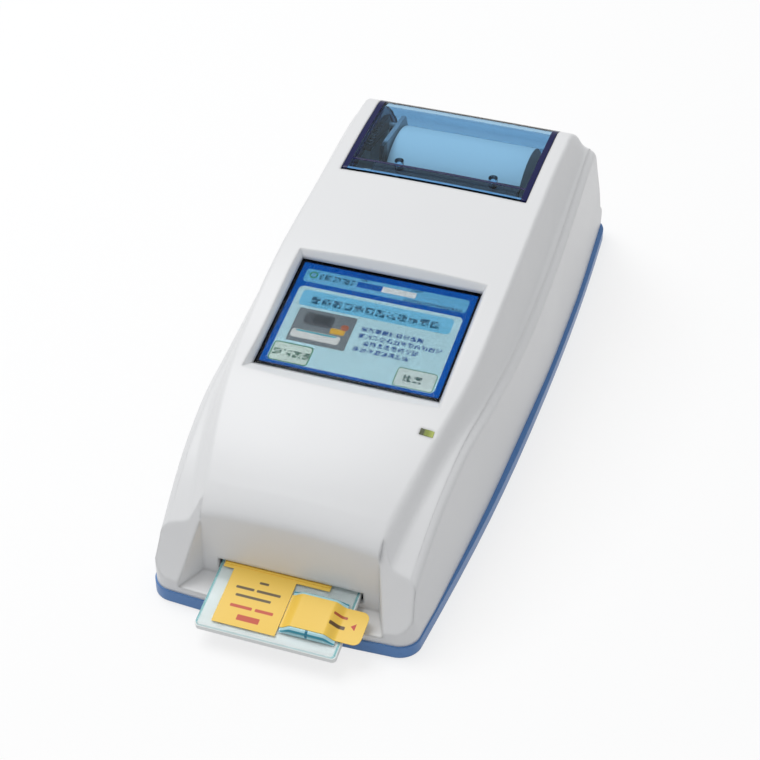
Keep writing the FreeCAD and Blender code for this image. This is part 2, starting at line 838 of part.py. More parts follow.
grip = [block(-battery_half_width / 3, battery_half_width / 3, at(door_s0 + door_ledge * k),
              at(door_s0 + door_ledge * k + door_thickness / 2), 0, foot_lift + door_thickness / 3)
        for k in (2, 3, 4)]
door = door.cut(group(grip))
clips = []
for end, way in ((door_s0 + door_ledge + gap, -1), (door_s1 - door_ledge - gap, 1)):
    near = end - way * door_clip_thickness
    far = end + way * (gap + door_clip_hook)
    for x in (-battery_half_width * 2 / 3, battery_half_width * 2 / 3):
        side = (x - door_clip_width / 2, x + door_clip_width / 2)
        clips.append(block(side[0], side[1], at(min(near, end)), at(max(near, end)), foot_lift + door_thickness,
                           floor_top + slack + door_clip_thickness))
        clips.append(block(side[0], side[1], at(min(near, far)), at(max(near, far)), floor_top + slack,
                           floor_top + slack + door_clip_thickness))
save(fuse([door] + clips), "battery_door")

print("electronics")
board_top = board_height + board_thickness
board = block(-board_half_width, board_half_width, at(board_station), at(board_station + board_length),
              board_height, board_top)
holes = [post(board_screw_radius + slack, x, at(s), 0, top_edge_height) for x, s in board_spots]
board = board.cut(group(holes))
save(board, "main_board")
chips = []
for (width, length, height), (share_x, share_y) in zip(chip_sizes, chip_place_shares):
    x = share_x * board_half_width
    y = at(board_station + share_y * board_length)
    chips.append(block(x - width / 2, x + width / 2, y - length / 2, y + length / 2, board_top, board_top + height))
save(group(chips), "main_board_chips")
screws = []
for x, s in board_spots:
    head = post(board_screw_head, x, at(s), board_top, board_top + board_screw_head_height)
    screws.append(head.fuse(post(board_screw_radius - fit_gap, x, at(s), floor_top + slack, board_top)))
save(group(screws), "board_screws")
buzzer_y = at(board_station + buzzer_reach)
buzzer = post(buzzer_radius, buzzer_x, buzzer_y, board_top, board_top + buzzer_height)
buzzer = buzzer.cut(post(buzzer_radius / 5, buzzer_x, buzzer_y, board_top + buzzer_height / 2, top_edge_height))
save(buzzer, "buzzer")
battery_base = floor_top + battery_floor_gap
cells = []
cell_height = battery_base + battery_height / 2
for k in (-1, 1):
    station = battery_station + battery_length / 2 + k * (battery_length / 2 - cell_radius - slack)
    cells.append(cross_rod(cell_radius, -battery_half_width, battery_half_width, station, cell_height))
core_y0 = at(battery_station + cell_radius)
core_y1 = at(battery_station + battery_length - cell_radius)
cells.append(block(-battery_half_width, battery_half_width, core_y0, core_y1, floor_top + slack,
                   battery_base + battery_height))
plug_z0 = cell_height - battery_plug_height / 2
plug_z1 = cell_height + battery_plug_height / 2
plug_x = battery_plug_width / 2
cells.append(block(-plug_x, plug_x, at(battery_station), at(battery_station + cell_radius), plug_z0, plug_z1))
cells.append(block(-battery_half_width / 2, battery_half_width / 2, core_y0, core_y1, foot_lift + door_thickness,
                   floor_top + slack * 2))
save(fuse(cells), "battery_pack")
socket_y = at(board_station + board_length - board_hole_inset * 2)
socket = block(-plug_x, plug_x, socket_y, at(battery_station), board_top, plug_z1)
past_board = block(-plug_x, plug_x, at(board_station + board_length), at(body_length), 0, plug_z0)
save(socket.cut(past_board), "battery_socket")

print("screen")
save(on_screen(block(-module_width / 2, module_width / 2, -module_height / 2, module_height / 2,
                     -module_thickness, 0)), "lcd_module")
save(on_screen(rounded_slab(module_width, module_height, 0, glass_thickness, window_radius)), "touch_panel")
bracket = block(-bracket_width / 2, bracket_width / 2, -bracket_height / 2, bracket_height / 2,
                bracket_top - bracket_thickness, bracket_top)
board_z = bracket_top - bracket_thickness - screen_board_drop
post_x = screen_board_width * screen_board_post_shares[0]
post_y = screen_board_height * screen_board_post_shares[1]
board_posts = [rod(post_radius, vec(sx * post_x, sy * post_y, board_z), UP, screen_board_drop)
               for sx in (-1, 1) for sy in (-1, 1)]
save(on_screen(fuse([bracket] + board_posts)), "display_bracket")
save(on_screen(block(-screen_board_width / 2, screen_board_width / 2, -screen_board_height / 2,
                     screen_board_height / 2, board_z - board_thickness, board_z)), "display_board")
pipe = block(light_x - light_width / 2 + fit_gap, light_x + light_width / 2 - fit_gap,
             at(light_station - light_length / 2 + fit_gap), at(light_station + light_length / 2 - fit_gap),
             light_top - light_depth, light_top + crown_rises[0])
pipe = pipe.common(body_loft(-slack, seam_height, section_shares))
save(pipe, "status_light_pipe")
lamp_z = light_top - light_depth
lamp_board = block(light_x - light_post_offset - light_width / 2 - light_board_width / 4,
                   light_x + light_board_width / 4, at(light_station - light_board_length / 2),
                   at(light_station + light_board_length / 2), lamp_z - led_height - board_thickness,
                   lamp_z - led_height)
lamp_post = post(light_post_radius, light_x - light_post_offset - light_width / 2, at(light_station),
                 lamp_z - led_height, lamp_z)
save(lamp_board.fuse(lamp_post), "status_light_board")
save(block(light_x - led_size / 2, light_x + led_size / 2, at(light_station - led_size / 2),
           at(light_station + led_size / 2), lamp_z - led_height, lamp_z), "status_led")

print("sockets")
rear_z = -rear_board_inset
save(on_rear(block(-rear_board_width / 2, rear_board_width / 2, -rear_board_height / 2, rear_board_height / 2,
                   rear_z - board_thickness, rear_z)), "port_board")
half_jack = jack_size / 2
jack = block(jack_x - half_jack, jack_x + half_jack, -half_jack, half_jack, rear_z, -slack)
jack = jack.cut(rod(jack_bore_radius, vec(jack_x, 0, -port_depth), UP, port_depth))
jack = jack.fuse(rod(jack_pin_radius, vec(jack_x, 0, -port_depth), UP, port_depth - jack_pin_radius))
save(on_rear(jack), "power_inlet")
usb = block(usb_x - usb_width / 2, usb_x + usb_width / 2, -usb_height / 2, usb_height / 2, rear_z, -slack)
inner_x = usb_width / 2 - usb_wall
inner_y = usb_height / 2 - usb_wall
usb = usb.cut(block(usb_x - inner_x, usb_x + inner_x, -inner_y, inner_y, -port_depth, 0))
inner_x -= usb_wall
tongue = block(usb_x - inner_x, usb_x + inner_x, 0, inner_y - usb_wall, -port_depth, -usb_wall)
save(on_rear(usb.fuse(tongue)), "usb_port")
half_lan = lan_size / 2
lan = block(lan_x - half_lan, lan_x + half_lan, -half_lan, half_lan, rear_z, -slack)
inner = half_lan - lan_wall
lan = lan.cut(block(lan_x - inner, lan_x + inner, -inner, inner, -port_depth, 0))
save(on_rear(lan), "network_port")
half_x = switch_width / 2
half_y = switch_height / 2
switch = block(switch_x - half_x, switch_x + half_x, -half_y, half_y, rear_z, slack * 4)
pivot_z = -rocker_thickness
inner_x = half_x - switch_rim
inner_y = half_y - switch_rim
switch = switch.cut(block(switch_x - inner_x, switch_x + inner_x, -inner_y, inner_y, -switch_body_depth,
                          port_depth))
pin_start = vec(switch_x - inner_x - switch_rim / 2, 0, pivot_z)
pin_length = inner_x * 2 + switch_rim
switch = switch.cut(rod(rocker_pin_radius, pin_start, ACROSS, pin_length))
save(on_rear(switch), "switch_housing")
rocker_x = inner_x - gap
rocker_y = inner_y - gap * 2
rocker = block(switch_x - rocker_x, switch_x + rocker_x, -rocker_y, rocker_y, pivot_z, rocker_rise)
hub = rod(rocker_pin_radius * 2, vec(switch_x - rocker_x, 0, pivot_z), ACROSS, rocker_x * 2)
rocker = fuse([rocker, hub, rod(rocker_pin_radius - fit_gap, pin_start, ACROSS, pin_length)])
rocker.rotate(vec(switch_x, 0, pivot_z), ACROSS, -rocker_swing_deg / 2)
save(on_rear(rocker), "power_rocker")

print("card reader")
card_top = card_base_thickness + card_cover_thickness
half_card = card_width / 2
rail_x = half_card + gap
tray = block(-rail_x - guide_side, rail_x + guide_side, guide_start, guide_start + guide_length,
             -gap - guide_floor, guide_rise)
tray = tray.cut(block(-rail_x, rail_x, 0, card_length - card_reach + gap, -gap, guide_rise))
heater_y = guide_start + heater_start
tray = tray.cut(block(-heater_width / 2, heater_width / 2, heater_y, heater_y + heater_length,
                      -guide_rise * 2, guide_rise))
below_tray = on_card(block(-base_half_width, base_half_width, -overrun * 2, card_length * 2, -gap - guide_floor,
                           overrun * 4))
legs = []
for station in (recess_depth + guide_start + guide_leg, recess_depth + guide_length - guide_leg):
    for side in (-1, 1):
        x0 = side * (rail_x + guide_side) - (guide_leg_width if side > 0 else 0)
        leg = block(x0, x0 + guide_leg_width, at(station), at(station + guide_leg), floor_top, top_edge_height)
        legs.append(leg.cut(below_tray))
save(fuse([on_card(tray)] + legs), "card_guide")
heater = block(-heater_width / 2 + slack, heater_width / 2 - slack, heater_y + slack,
               heater_y + heater_length - slack, -gap - guide_floor, -gap)
heater = heater.fuse(block(-heater_width / 2 - heater_flange, heater_width / 2 + heater_flange,
                           heater_y - heater_flange, heater_y + heater_length + heater_flange,
                           -gap - guide_floor - heater_thickness, -gap - guide_floor))
save(on_card(heater), "heater_plate")
reader_y = card_length - card_reach - contact_strip_length / 2
reader = block(-rail_x - guide_side, rail_x + guide_side, reader_y - reader_block_length / 2,
               reader_y + reader_block_length / 2, guide_rise, guide_rise + reader_block_height)
reader = reader.cut(block(-reader_block_width / 2, reader_block_width / 2, reader_y - reader_block_length / 2,
                          reader_y - pin_radius * 3, guide_rise + reader_block_height / 2, overrun))
save(on_card(reader), "card_contact_block")
pad_xs = [(k - (contact_count - 1) / 2) * contact_pitch for k in range(contact_count)]
pins = [rod(pin_radius, vec(x, reader_y, card_top + gap), UP, guide_rise - card_top - gap) for x in pad_xs]
save(on_card(group(pins)), "contact_pins")
deck_y = press_reach
deck = block(-rail_x - guide_side, rail_x + guide_side, deck_y - press_deck_length / 2,
             deck_y + press_deck_length / 2, press_deck_height, press_deck_height + press_deck_thickness)
deck_legs = [block(x0, x0 + guide_side, deck_y - press_deck_length / 2, deck_y + press_deck_length / 2,
                   guide_rise, press_deck_height) for x0 in (-rail_x - guide_side, rail_x)]
plunger_z = card_top + plunger_lift
sleeve_z = plunger_z + plunger_length / 2
sleeve = rod(plunger_radius * 1.5, vec(0, deck_y, sleeve_z), UP, press_deck_height - sleeve_z)
deck = fuse([deck, sleeve] + deck_legs)
flat_half = plunger_flat + fit_gap
bore = rod(plunger_radius + fit_gap, vec(0, deck_y, 0), UP, press_deck_height)
bore = bore.common(block(-flat_half, flat_half, 0, card_length, 0, press_deck_height))
deck = deck.cut(bore).cut(rod(press_screw_radius + gap, vec(0, deck_y, 0), UP, overrun * 2))
save(on_card(deck), "press_bracket")
deck_top = press_deck_height + press_deck_thickness
press_motor = rod(press_motor_radius, vec(0, deck_y, deck_top), UP, press_motor_height)
press_motor = press_motor.cut(rod(press_screw_radius + fit_gap, vec(0, deck_y, deck_top), UP,
                                  press_motor_height / 2))
save(on_card(press_motor), "press_motor")
screw_z = plunger_z + press_travel
press_screw = rod(press_screw_radius, vec(0, deck_y, screw_z), UP,
                  deck_top + press_motor_height / 2 - slack - screw_z)
save(on_card(press_screw), "press_screw")
plunger = rod(plunger_radius, vec(0, deck_y, plunger_z), UP, plunger_length)
plunger = plunger.common(block(-plunger_flat, plunger_flat, 0, card_length, 0, press_deck_height))
plunger = plunger.cut(rod(press_screw_radius + fit_gap, vec(0, deck_y, plunger_z + press_travel / 2), UP,
                          plunger_length))
save(on_card(plunger), "press_plunger")

print("sensor card")
card_front = -card_reach
base = rounded_slab(card_width, card_length, 0, card_base_thickness, card_corner_radius)
base.translate(vec(0, card_front + card_length / 2, 0))
save(on_card(base), "card_base")
cover = rounded_slab(card_width - card_cover_inset * 2, card_length - card_cover_inset * 2, card_base_thickness,
                     card_top, card_corner_radius)
cover.translate(vec(0, card_front + card_length / 2, 0))
strip_y = card_length - card_reach - contact_strip_length - card_cover_inset
cover = cover.cut(block(-half_card, half_card, strip_y, card_length, 0, overrun))
save(on_card(cover), "card_cover")
pads = block(-half_card + card_corner_radius, half_card - card_corner_radius, strip_y + slack,
             card_length - card_reach - card_cover_inset, card_base_thickness, card_top - slack)
grooves = [block(x - contact_pitch / 2 - pin_radius / 2, x - contact_pitch / 2 + pin_radius / 2, 0, card_length,
                 card_top - slack * 3, card_top) for x in pad_xs]
save(on_card(pads.cut(group(grooves))), "card_contacts")
label_x = -half_card + label_left_margin
label_z = card_top + label_thickness
sheet = block(label_x, label_x + label_width, card_front + label_front_margin, -label_strip_length,
              card_top, label_z)
strip = block(label_x - label_strip_overhang, label_x + label_strip_width, -label_strip_length,
              label_strip_tuck, card_top, label_z)
rib = block(label_x + label_rib_length - label_strip_overhang, label_x + label_strip_width - label_rib_length,
            0, label_rib_length, label_z, card_top + label_rib_height)
save(on_card(fuse([sheet, strip, rib])), "card_label")
inlet_y = card_front + inlet_reach


def arched(width, length, height, grow, x0, y0):
    """Low arch across X, seen from the front, with gentle ends."""
    half = width / 2 + grow
    knee = half * arch_top_share
    top = height + grow
    a = vec(x0 - half, y0, card_top)
    b = vec(x0 - knee, y0, card_top + top)
    c = vec(x0 + knee, y0, card_top + top)
    d = vec(x0 + half, y0, card_top)
    edges = [Part.makeLine(a, b), Part.makeLine(b, c), Part.makeLine(c, d), Part.makeLine(d, a)]
    return Part.Face(Part.Wire(edges)).extrude(vec(0, length, 0))


inlet = arched(inlet_width, inlet_length, inlet_height, 0.0, inlet_x, inlet_y - inlet_length / 2)
inlet = inlet.cut(block(-half_card, label_x + label_width + label_thickness, card_front, 0, 0, overrun))
channel = rod(inlet_height / 4, vec(inlet_x, inlet_y - inlet_length / 2, card_top + inlet_height / 2), BACK,
              inlet_length * 0.8)
save(on_card(inlet.cut(channel)), "sample_inlet")
peel = arched(inlet_width, peel_width, inlet_height, peel_thickness, inlet_x, inlet_y - peel_width / 2)
peel = peel.cut(arched(inlet_width, peel_width * 2, inlet_height, 0.0, inlet_x, inlet_y - peel_width))
tab = block(inlet_x + inlet_width / 2, half_card + peel_overhang, inlet_y - peel_width / 2,
            inlet_y + peel_width / 2, card_top, card_top + peel_thickness)
uprights = [e for e in tab.Edges if abs(e.tangentAt(e.FirstParameter).z) > 0.9]
tab_corners = [e for e in uprights if e.BoundBox.XMin > half_card]
tab = tab.makeFillet(peel_width / 5, tab_corners)
peel = peel.fuse(tab)
peel = peel.cut(block(-half_card, label_x + label_width + label_thickness, card_front, 0, 0, overrun))
save(on_card(peel), "peel_strip")

print("printer")
left_x = printer_x - roll_width / 2 - cheek_gap
right_x = printer_x + roll_width / 2 + cheek_gap
tub_radius = roll_radius + gap
outer_radius = tub_radius + tub_wall
platen_s = platen_station
platen_z = platen_height


def frame_side(x0, x1, top, rear_top):
    """Side plate of the printer frame."""
    rear = roll_station + frame_rear
    low = frame_floor_height
    front = motor_flange_station
    notch_0 = platen_s - notch_front
    notch_1 = platen_s + notch_rear
    head_0 = head_wall_station
    waist = low + tub_radius / 2
    points = [(front, platen_z - roll_radius), (head_0, waist), (roll_station - roll_radius, low), (rear, low),
              (rear, roll_height - tub_wall), (rear - roll_radius / 2, rear_top), (notch_1 + wall, top),
              (notch_1, notch_height), (notch_0, notch_height), (notch_0, head_wall_height),
              (head_0, head_wall_height), (front, platen_z)]
    return plate(points, x0, x1)


left_plate = frame_side(left_x - cheek_thickness, left_x, left_cheek_height, left_cheek_height - wall)
right_plate = frame_side(right_x, right_x + cheek_thickness, right_cheek_height, right_cheek_height)
tub = cross_rod(outer_radius, left_x, right_x, roll_station, roll_height)
tub = tub.cut(block(-base_half_width, base_half_width, at(0), at(body_length), roll_height - tub_wall * 2,
                    top_edge_height))
tub = tub.fuse(block(left_x, right_x, at(head_wall_station), at(head_wall_station + tub_wall),
                     platen_z - roll_radius + tub_wall, head_wall_height))
chute = plate([(head_wall_station, platen_z - roll_radius + tub_wall), (head_wall_station, platen_z - roll_radius),
               (roll_station - outer_radius + tub_wall, roll_height - tub_wall * 3),
               (roll_station - outer_radius + tub_wall, roll_height - tub_wall * 2)], left_x, right_x)
frame_posts = [post(frame_post_radius, printer_x + sx * frame_post_x, at(s), floor_top, frame_floor_height + tub_wall)
               for sx in (-1, 1) for s in (frame_post_front, frame_post_rear)]
foot_bars = [block(left_x - cheek_thickness, right_x + cheek_thickness, at(frame_post_front - frame_post_radius),
                   at(frame_post_rear + frame_post_radius), frame_floor_height, frame_floor_height + tub_wall)]
frame = fuse([left_plate, right_plate, tub, chute] + foot_bars + frame_posts)
frame = frame.cut(cross_rod(tub_radius, left_x, right_x, roll_station, roll_height))
idler_turn = math.radians(idler_angle_deg)
idler_reach = gear_module * (platen_teeth + idler_teeth) / 2 + gear_play
idler_s = platen_s + idler_reach * math.cos(idler_turn)
idler_z = platen_z + idler_reach * math.sin(idler_turn)
pinion_turn = math.radians(pinion_angle_deg)
pinion_reach = gear_module * (pinion_teeth + idler_teeth) / 2 + gear_play
pinion_s = idler_s + pinion_reach * math.cos(pinion_turn)
pinion_z = idler_z + pinion_reach * math.sin(pinion_turn)
motor_x0 = left_x
frame = frame.cut(cross_rod(motor_shaft_radius * 2, -base_half_width, 0, pinion_s, pinion_z))
frame = frame.cut(cross_rod(motor_radius + gap, motor_x0, motor_x0 + motor_length + gap, pinion_s, pinion_z))
head_pivot_s = platen_s - platen_radius - head_face_gap - head_thickness / 2
head_pivot_z = platen_z - head_pivot_drop
frame = frame.cut(cross_rod(head_pivot_radius + fit_gap, -base_half_width, base_half_width, head_pivot_s,
                            head_pivot_z))
gear_x1 = left_x - cheek_thickness - gear_side_gap
gear_x0 = gear_x1 - gear_width
lever_x1 = gear_x0 - lever_gap
lever_x0 = lever_x1 - lever_thickness
frame = frame.fuse(cross_rod(idler_pin_radius - fit_gap, gear_x0, left_x, idler_s, idler_z))
frame = frame.fuse(cross_rod(lever_pin_radius, lever_x0, left_x, lever_pivot_station, lever_pivot_height))
save(frame, "printer_frame")


def gear(teeth, station, height, bore, turn_deg):
    """Spur gear in the plane across X, with a tooth centred at the given turn from the back."""
    radius = gear_module * teeth / 2
    pitch = 2 * math.pi / teeth
    points = []
    for k in range(teeth):
        middle = math.radians(turn_deg) + k * pitch
        root = radius - gear_module * tooth_depth_shares[0]
        tip = radius + gear_module * tooth_depth_shares[1]
        for share, reach in ((-tooth_root_share, root), (-tooth_top_share, tip), (tooth_top_share, tip),
                             (tooth_root_share, root)):
            angle = middle + share * pitch / 2
            points.append((station + reach * math.cos(angle), height + reach * math.sin(angle)))
    wheel = plate(points, gear_x0, gear_x1)
    return wheel.cut(cross_rod(bore, -base_half_width, base_half_width, station, height))


idler_offset = 0.5 * 360 / idler_teeth
back_turn = idler_angle_deg - 180
idler_phase = back_turn - idler_offset
save(gear(platen_teeth, platen_s, platen_z, platen_shaft_radius - fit_gap, idler_angle_deg), "platen_gear")
save(gear(idler_teeth, idler_s, idler_z, idler_pin_radius, idler_phase), "idler_gear")
teeth_past = (pinion_angle_deg - idler_phase) / (360 / idler_teeth)
lag = (round(teeth_past) - teeth_past) * 360 / idler_teeth
pinion_phase = pinion_angle_deg - 180 - lag * idler_teeth / pinion_teeth + 180 / pinion_teeth
pinion = gear(pinion_teeth, pinion_s, pinion_z, motor_shaft_radius / 2, pinion_phase)
shaft = cross_rod(motor_shaft_radius, gear_x0, motor_x0 + motor_bore_depth - slack, pinion_s, pinion_z)
save(pinion.fuse(shaft), "motor_pinion")
motor = cross_rod(motor_radius, motor_x0, motor_x0 + motor_length, pinion_s, pinion_z)
motor = motor.cut(cross_rod(motor_shaft_radius + fit_gap, motor_x0, motor_x0 + motor_bore_depth, pinion_s, pinion_z))
save(motor, "printer_motor")

# Print head, its springs and the tear edge
head_s1 = platen_s - platen_radius - head_face_gap
head_s0 = head_s1 - head_thickness
head_half = head_length / 2
head_low = head_pivot_z - head_pivot_radius * 1.6
head = block(printer_x - head_half, printer_x + head_half, at(head_s0), at(head_s1), head_low,
             head_low + head_height + head_pivot_radius)
head = head.cut(cross_rod(head_pivot_radius + fit_gap, -base_half_width, base_half_width, head_pivot_s, head_pivot_z))
grooves = []
for k in range(1, 10):
    x0 = printer_x - head_half + k * head_half / 5
    grooves.append(block(x0, x0 + head_half / 12, at(head_s0), at(head_s0 + head_thickness / 3),
                         head_pivot_z + head_pivot_radius * 2, top_edge_height))
save(head.cut(group(grooves)), "print_head")
save(cross_rod(head_pivot_radius, left_x - cheek_thickness, right_x + cheek_thickness, head_pivot_s, head_pivot_z),
     "head_pivot_pin")
spring_s0 = head_wall_station + tub_wall
springs = []
for side in (-1, 1):
    start = vec(printer_x + side * head_spring_spacing / 2, at(spring_s0), head_spring_height)
    length = head_s0 - gap * 1.5 - spring_s0
    springs.append(rod(head_spring_radius, start, BACK, length).cut(
        rod(head_spring_radius - head_spring_wire, start, BACK, length)))
save(group(springs), "head_springs")
tear_half = roll_width / 2
tear_z0 = head_wall_height
tear_s0 = head_wall_station
teeth = int(roll_width / tear_tooth_pitch)
arm_top = tear_z0 + tear_bar_thickness
bar = block(printer_x - tear_half, printer_x + tear_half, at(tear_s0), at(lid_front_station - gap), tear_z0, arm_top)
edge = []
for k in range(teeth):
    x = printer_x - tear_half + k * tear_tooth_pitch
    edge.append(vec(x, at(lid_front_station - gap), tear_z0))
    edge.append(vec(x + tear_tooth_pitch / 2, at(lid_front_station - gap + tear_tooth_height / 2), tear_z0))
edge.append(vec(printer_x - tear_half + teeth * tear_tooth_pitch, at(lid_front_station - gap), tear_z0))
saw = Part.Face(Part.makePolygon(edge + edge[:1])).extrude(vec(0, 0, tear_bar_thickness))
save(bar.fuse(saw), "tear_bar")
sensor_x = printer_x + roll_width / 4
save(block(sensor_x - sensor_size / 2, sensor_x + sensor_size / 2, at(spring_s0), at(spring_s0 + sensor_thickness),
           platen_z - roll_radius / 2 - sensor_size, platen_z - roll_radius / 2), "paper_sensor")

# Platen on the lid
roller = cross_rod(platen_radius, printer_x - platen_length / 2, printer_x + platen_length / 2, platen_s, platen_z)
save(roller.cut(cross_rod(platen_shaft_radius - fit_gap, -base_half_width, base_half_width, platen_s, platen_z)),
     "platen_roller")
save(cross_rod(platen_shaft_radius - fit_gap, gear_x0, right_x + cheek_thickness, platen_s, platen_z), "platen_shaft")
cheek_x = [(printer_x - holder_half_width, printer_x - holder_half_width + holder_thickness),
           (printer_x + holder_half_width - holder_thickness, printer_x + holder_half_width)]
bearings = [cross_rod(bearing_radius, x0, x1, platen_s, platen_z).cut(
    cross_rod(platen_shaft_radius, x0, x1, platen_s, platen_z)) for x0, x1 in cheek_x]
save(group(bearings), "platen_bearings")
holder_s0 = platen_s - holder_front
holder_s1 = holder_s0 + holder_depth
holder = [block(printer_x - holder_half_width, printer_x + holder_half_width, at(holder_s0), at(holder_s1),
                holder_top - holder_thickness, holder_top)]
for x0, x1 in cheek_x:
    holder.append(block(x0, x1, at(platen_s - cheek_reach + gap * 2), at(platen_s + cheek_reach), platen_z,
                        holder_top))
    holder.append(cross_rod(cheek_reach - gap, x0, x1, platen_s, platen_z))
holder = fuse(holder)
holder = holder.cut(group([cross_rod(bearing_radius, x0 - slack, x1 + slack, platen_s, platen_z)
                           for x0, x1 in cheek_x]))
boss_xs = [printer_x - boss_spacing / 2, printer_x + boss_spacing / 2]
holder = holder.cut(group([post(holder_screw_radius + fit_gap, x, at(boss_station), 0, top_edge_height)
                           for x in boss_xs]))
save(holder, "platen_holder")
holder_screws = []
low = holder_top - holder_thickness
for x in boss_xs:
    head = post(holder_screw_head, x, at(boss_station), low - holder_screw_radius / 2, low)
    holder_screws.append(head.fuse(post(holder_screw_radius, x, at(boss_station), low, holder_top + boss_radius)))
save(group(holder_screws), "holder_screws")

paper = cross_rod(roll_radius, printer_x - roll_width / 2, printer_x + roll_width / 2, roll_station, roll_height)
core_cut = cross_rod(core_radius, -base_half_width, base_half_width, roll_station, roll_height)
save(paper.cut(core_cut), "paper_roll")
core = cross_rod(core_radius, printer_x - roll_width / 2, printer_x + roll_width / 2, roll_station, roll_height)
save(core.cut(cross_rod(core_radius - core_wall, -base_half_width, base_half_width, roll_station, roll_height)),
     "paper_core")

# Release lever beside the roll
lever_front = lever_pivot_station - lever_length
lever_points = [(lever_front, lever_pivot_height + lever_rise - lever_height / 2),
                (lever_front, lever_pivot_height + lever_rise),
                (lever_pivot_station, lever_pivot_height + lever_rise + lever_height / 4),
                (lever_pivot_station + lever_height / 2, lever_pivot_height),
                (lever_pivot_station, lever_pivot_height - lever_height / 2),
                (lever_front + lever_height, lever_pivot_height + lever_rise - lever_height / 2)]
lever = plate(lever_points, lever_x0, lever_x1)
for k in range(rib_count):
    s = lever_front + rib_pitch * (k + 0.5)
    low = lever_pivot_height + lever_rise - rib_height * 3
    high = low + rib_height * 5
    lever = lever.fuse(plate([(s, low), (s + rib_pitch / 2, low), (s + rib_pitch / 2, high), (s, high)],
                             lever_x0, lever_x1))
lever = lever.cut(cross_rod(lever_pin_radius + fit_gap, -base_half_width, 0, lever_pivot_station, lever_pivot_height))
save(lever, "release_lever")

print("lid")
lid_front = paper_slit
lid_block = lid_space(gap, lid_front, 0.0)
barrel = cross_rod(hinge_depth - gap / 2, gap - lid_half_width, lid_half_width - gap, hinge_s, hinge_z)
skin = outer.cut(inner_space(lid_skin)).common(lid_block)
lowered = outer.copy()
lowered.translate(vec(0, 0, -fin_depth))
fin_zone = []
for side in (-1, 1):
    outside = lid_half_width - gap
    x0 = outside - fin_thickness if side > 0 else -outside
    fin_zone.append(block(x0, x0 + fin_thickness, at(lid_front_station + lid_front), at(body_length), 0,
                          top_edge_height * 2))
fins = outer.cut(lowered).common(lid_block).common(group(fin_zone))
lips = outer.cut(lowered).common(lid_block).common(
    block(printer_x - holder_half_width, printer_x + holder_half_width, at(0),
          at(lid_front_station + lid_front + lid_skin), holder_top, top_edge_height * 2))
lid_bosses = [post(boss_radius, x, at(boss_station), holder_top, top_edge_height).common(outer) for x in boss_xs]
lid = skin.multiFuse([fins, lips] + lid_bosses + [barrel])
lid = lid.cut(group([cross_rod(hinge_pin_radius + fit_gap, x0, x0 + hinge_pin_length, hinge_s, hinge_z)
                     for x0 in (-lid_half_width, lid_half_width - hinge_pin_length)]))
lid = lid.cut(group([post(boss_bore, x, at(boss_station), holder_top, holder_top + boss_radius + gap)
                     for x in boss_xs]))
save(lid, "printer_lid")
pin_out = lid_half_width + gap + ear_thickness
save(group([cross_rod(hinge_pin_radius, x0, x1, hinge_s, hinge_z) for x0, x1 in
            ((-pin_out, gap * 2 - lid_half_width + hinge_pin_length - gap * 3),
             (lid_half_width - hinge_pin_length + gap, pin_out))]), "lid_hinge_pins")
print("hinge", at(hinge_s), hinge_z, "idler", at(idler_s), idler_z, "pinion", at(pinion_s), pinion_z)
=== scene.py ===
"""Bench-top blood gas analyzer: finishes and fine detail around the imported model."""
import json
import math

import bmesh
import bpy
import numpy as np
from mathutils import Matrix, Vector

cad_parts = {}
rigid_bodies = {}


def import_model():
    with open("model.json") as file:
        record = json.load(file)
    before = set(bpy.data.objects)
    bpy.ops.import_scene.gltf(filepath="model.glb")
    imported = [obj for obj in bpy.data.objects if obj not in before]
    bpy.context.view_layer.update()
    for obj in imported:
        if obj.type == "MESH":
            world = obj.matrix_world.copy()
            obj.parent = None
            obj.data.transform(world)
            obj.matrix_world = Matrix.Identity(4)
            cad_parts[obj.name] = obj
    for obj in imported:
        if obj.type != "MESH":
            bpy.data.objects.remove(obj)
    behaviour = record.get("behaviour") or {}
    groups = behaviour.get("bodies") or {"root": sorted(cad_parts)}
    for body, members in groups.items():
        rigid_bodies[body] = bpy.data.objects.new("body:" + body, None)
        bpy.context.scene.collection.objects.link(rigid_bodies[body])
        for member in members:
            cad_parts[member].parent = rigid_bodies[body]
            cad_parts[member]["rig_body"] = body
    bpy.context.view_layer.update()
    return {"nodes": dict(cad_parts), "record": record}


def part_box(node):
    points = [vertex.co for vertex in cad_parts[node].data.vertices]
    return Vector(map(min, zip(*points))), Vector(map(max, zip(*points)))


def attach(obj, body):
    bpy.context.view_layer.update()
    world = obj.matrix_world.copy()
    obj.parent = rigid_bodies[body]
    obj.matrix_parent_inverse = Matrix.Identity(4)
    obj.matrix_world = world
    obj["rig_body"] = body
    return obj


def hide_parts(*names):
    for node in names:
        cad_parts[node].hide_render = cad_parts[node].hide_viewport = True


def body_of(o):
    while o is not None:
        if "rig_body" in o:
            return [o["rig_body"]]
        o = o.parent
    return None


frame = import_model()

MM = 0.001

# The planes of the screen and of the card: their origins in millimetres, and the tilt of both
SCREEN_CENTRE = (0.0, -36.9145, 65.4)
CARD_CENTRE = (0.0, -125.8145, 12.35)
TILT = math.radians(12.3)

# Where most of a noise's values lie, so that a finish runs through all of its gloss
NOISE_LOW, NOISE_HIGH = 0.3, 0.7
# Slow drift of a moulding's tone, in features a metre
DRIFT_SCALE = 22.0
# Streaks of worked metal: features a metre along each axis, and their lowest and added tone
STREAK = (4000.0, 200.0, 4000.0)
STREAK_TONE, STREAK_SPAN = 0.88, 0.24
# Share of a written row's cells that stays bare
BARE_CELLS = 0.42
# Depth of a finish's bump in metres, and how finely a softened edge is sampled
RELIEF = 0.0001
EDGE_SAMPLES = 6


